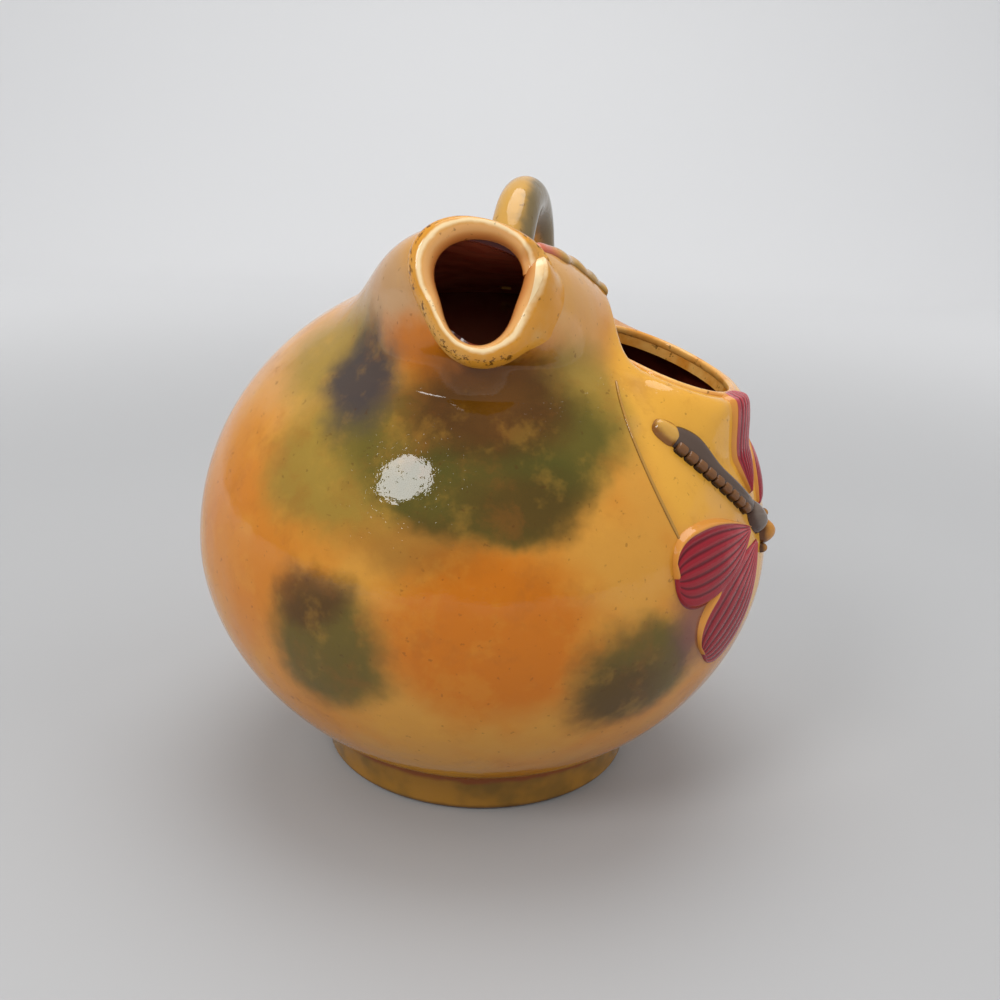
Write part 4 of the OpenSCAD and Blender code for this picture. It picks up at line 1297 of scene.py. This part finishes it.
class JUG_OT_stage(bpy.types.Operator):
    """Sets the floor, the light and the camera"""
    bl_idname = "jug.stage"
    bl_label = "Stage"

    def execute(self, context):
        self.floor()
        for lamp in LAMPS:
            self.lamp(*lamp)
        world = bpy.data.worlds.new("studio")
        world.use_nodes = True
        back = world.node_tree.nodes["Background"]
        back.inputs["Color"].default_value = (0.93, 0.95, 1.0, 1.0)
        back.inputs["Strength"].default_value = 0.40
        context.scene.world = world
        self.camera(context)
        context.scene.view_settings.view_transform = "Standard"
        return {"FINISHED"}

    def floor(self):
        """Floor that curves up into a backdrop: a profile of floor, arc and wall drawn out sideways."""
        a = np.linspace(0, math.pi / 2, 24)
        arc = stacked(1.0 + 0.5 * np.sin(a), 0.5 * (1 - np.cos(a)))
        profile = np.concatenate([[[-3.0, 0.0]], arc, [[1.5, 3.0]]])
        grid = stacked(np.array([[-3.0, 3.0]]), profile[:, :1], profile[:, 1:])
        rows = len(profile)
        i = np.arange(rows - 1) * 2
        mesh = bpy.data.meshes.new("floor")
        mesh.from_pydata(grid.reshape(-1, 3).tolist(), [], np.stack([i, i + 1, i + 3, i + 2], -1).tolist())
        mesh.polygons.foreach_set("use_smooth", np.ones(rows - 1, bool))
        floor = bpy.data.objects.new("floor", mesh)
        bpy.context.scene.collection.objects.link(floor)
        m = Shade("floor")
        far = m.step(m.vector("LENGTH", m.place), 0.35, 1.2)
        shader = m.add("BsdfPrincipled", {"Base Color": m.mix(far, tint("floor"), srgb(220, 220, 220)),
                                          "Roughness": 0.55})
        m.add("OutputMaterial", {"Surface": shader.outputs[0]})
        mesh.materials.append(m.material)

    def lamp(self, name, spot, size, power, seen):
        """Round soft lamp that faces the jug's middle, and that its gloss shows or doesn't show."""
        light = bpy.data.lights.new(name, "AREA")
        light.shape = "DISK"
        light.size = size
        light.energy = power
        lamp = bpy.data.objects.new(name, light)
        lamp.location = spot
        lamp.rotation_euler = (Vector((0, 0, 0.1)) - Vector(spot)).to_track_quat("-Z", "Y").to_euler()
        lamp.visible_camera = False
        lamp.visible_glossy = seen
        bpy.context.scene.collection.objects.link(lamp)

    def camera(self, context):
        """Camera at the photo's angle: 19 degrees down, rolled by 2 degrees."""
        pitch, yaw, roll = (math.radians(a) for a in CAMERA_TURNS)
        ahead = Vector((math.sin(yaw) * math.cos(pitch), math.cos(yaw) * math.cos(pitch), -math.sin(pitch)))
        right = Vector((math.cos(yaw), -math.sin(yaw), 0))
        up = right.cross(ahead)
        side = right * math.cos(roll) + up * math.sin(roll)
        top = up * math.cos(roll) - right * math.sin(roll)
        data = bpy.data.cameras.new("camera")
        data.sensor_width = CAMERA_SENSOR
        data.lens = CAMERA_LENS
        data.clip_start = 0.01
        camera = bpy.data.objects.new("camera", data)
        turn = Matrix((side, top, -ahead)).transposed().to_4x4()
        camera.matrix_world = Matrix.Translation(CAMERA_PLACE) @ turn
        bpy.context.scene.collection.objects.link(camera)
        context.scene.camera = camera


class JUG_PT_panel(bpy.types.Panel):
    """Sizes, colours and building steps of the jug"""
    bl_idname = "JUG_PT_panel"
    bl_label = "Puzzle Jug"
    bl_space_type = "VIEW_3D"
    bl_region_type = "UI"
    bl_category = "Jug"

    def draw(self, context):
        for group in (context.scene.jug_sizes, context.scene.jug_colours):
            box = self.layout.box()
            for name in group.__annotations__:
                box.prop(group, name)
        for step in STEPS:
            self.layout.operator(step.bl_idname)


STEPS = (JUG_OT_globe, JUG_OT_foot, JUG_OT_spout, JUG_OT_opening, JUG_OT_handle, JUG_OT_inside,
         JUG_OT_dragonfly, JUG_OT_line, JUG_OT_stage)
CLASSES = (JugSizes, JugColours, *STEPS, JUG_PT_panel)


def register():
    """Adds the classes and the scene's settings to Blender."""
    for kind in CLASSES:
        bpy.utils.register_class(kind)
    bpy.types.Scene.jug_sizes = PointerProperty(type=JugSizes)
    bpy.types.Scene.jug_colours = PointerProperty(type=JugColours)


def unregister():
    """Takes them out again."""
    del bpy.types.Scene.jug_colours
    del bpy.types.Scene.jug_sizes
    for kind in reversed(CLASSES):
        bpy.utils.unregister_class(kind)


def main():
    """Builds the jug and its stage."""
    register()
    for name in ("globe", "foot", "spout", "opening", "handle", "inside", "dragonfly", "line", "stage"):
        getattr(bpy.ops.jug, name)()


if __name__ == "__main__":
    main()
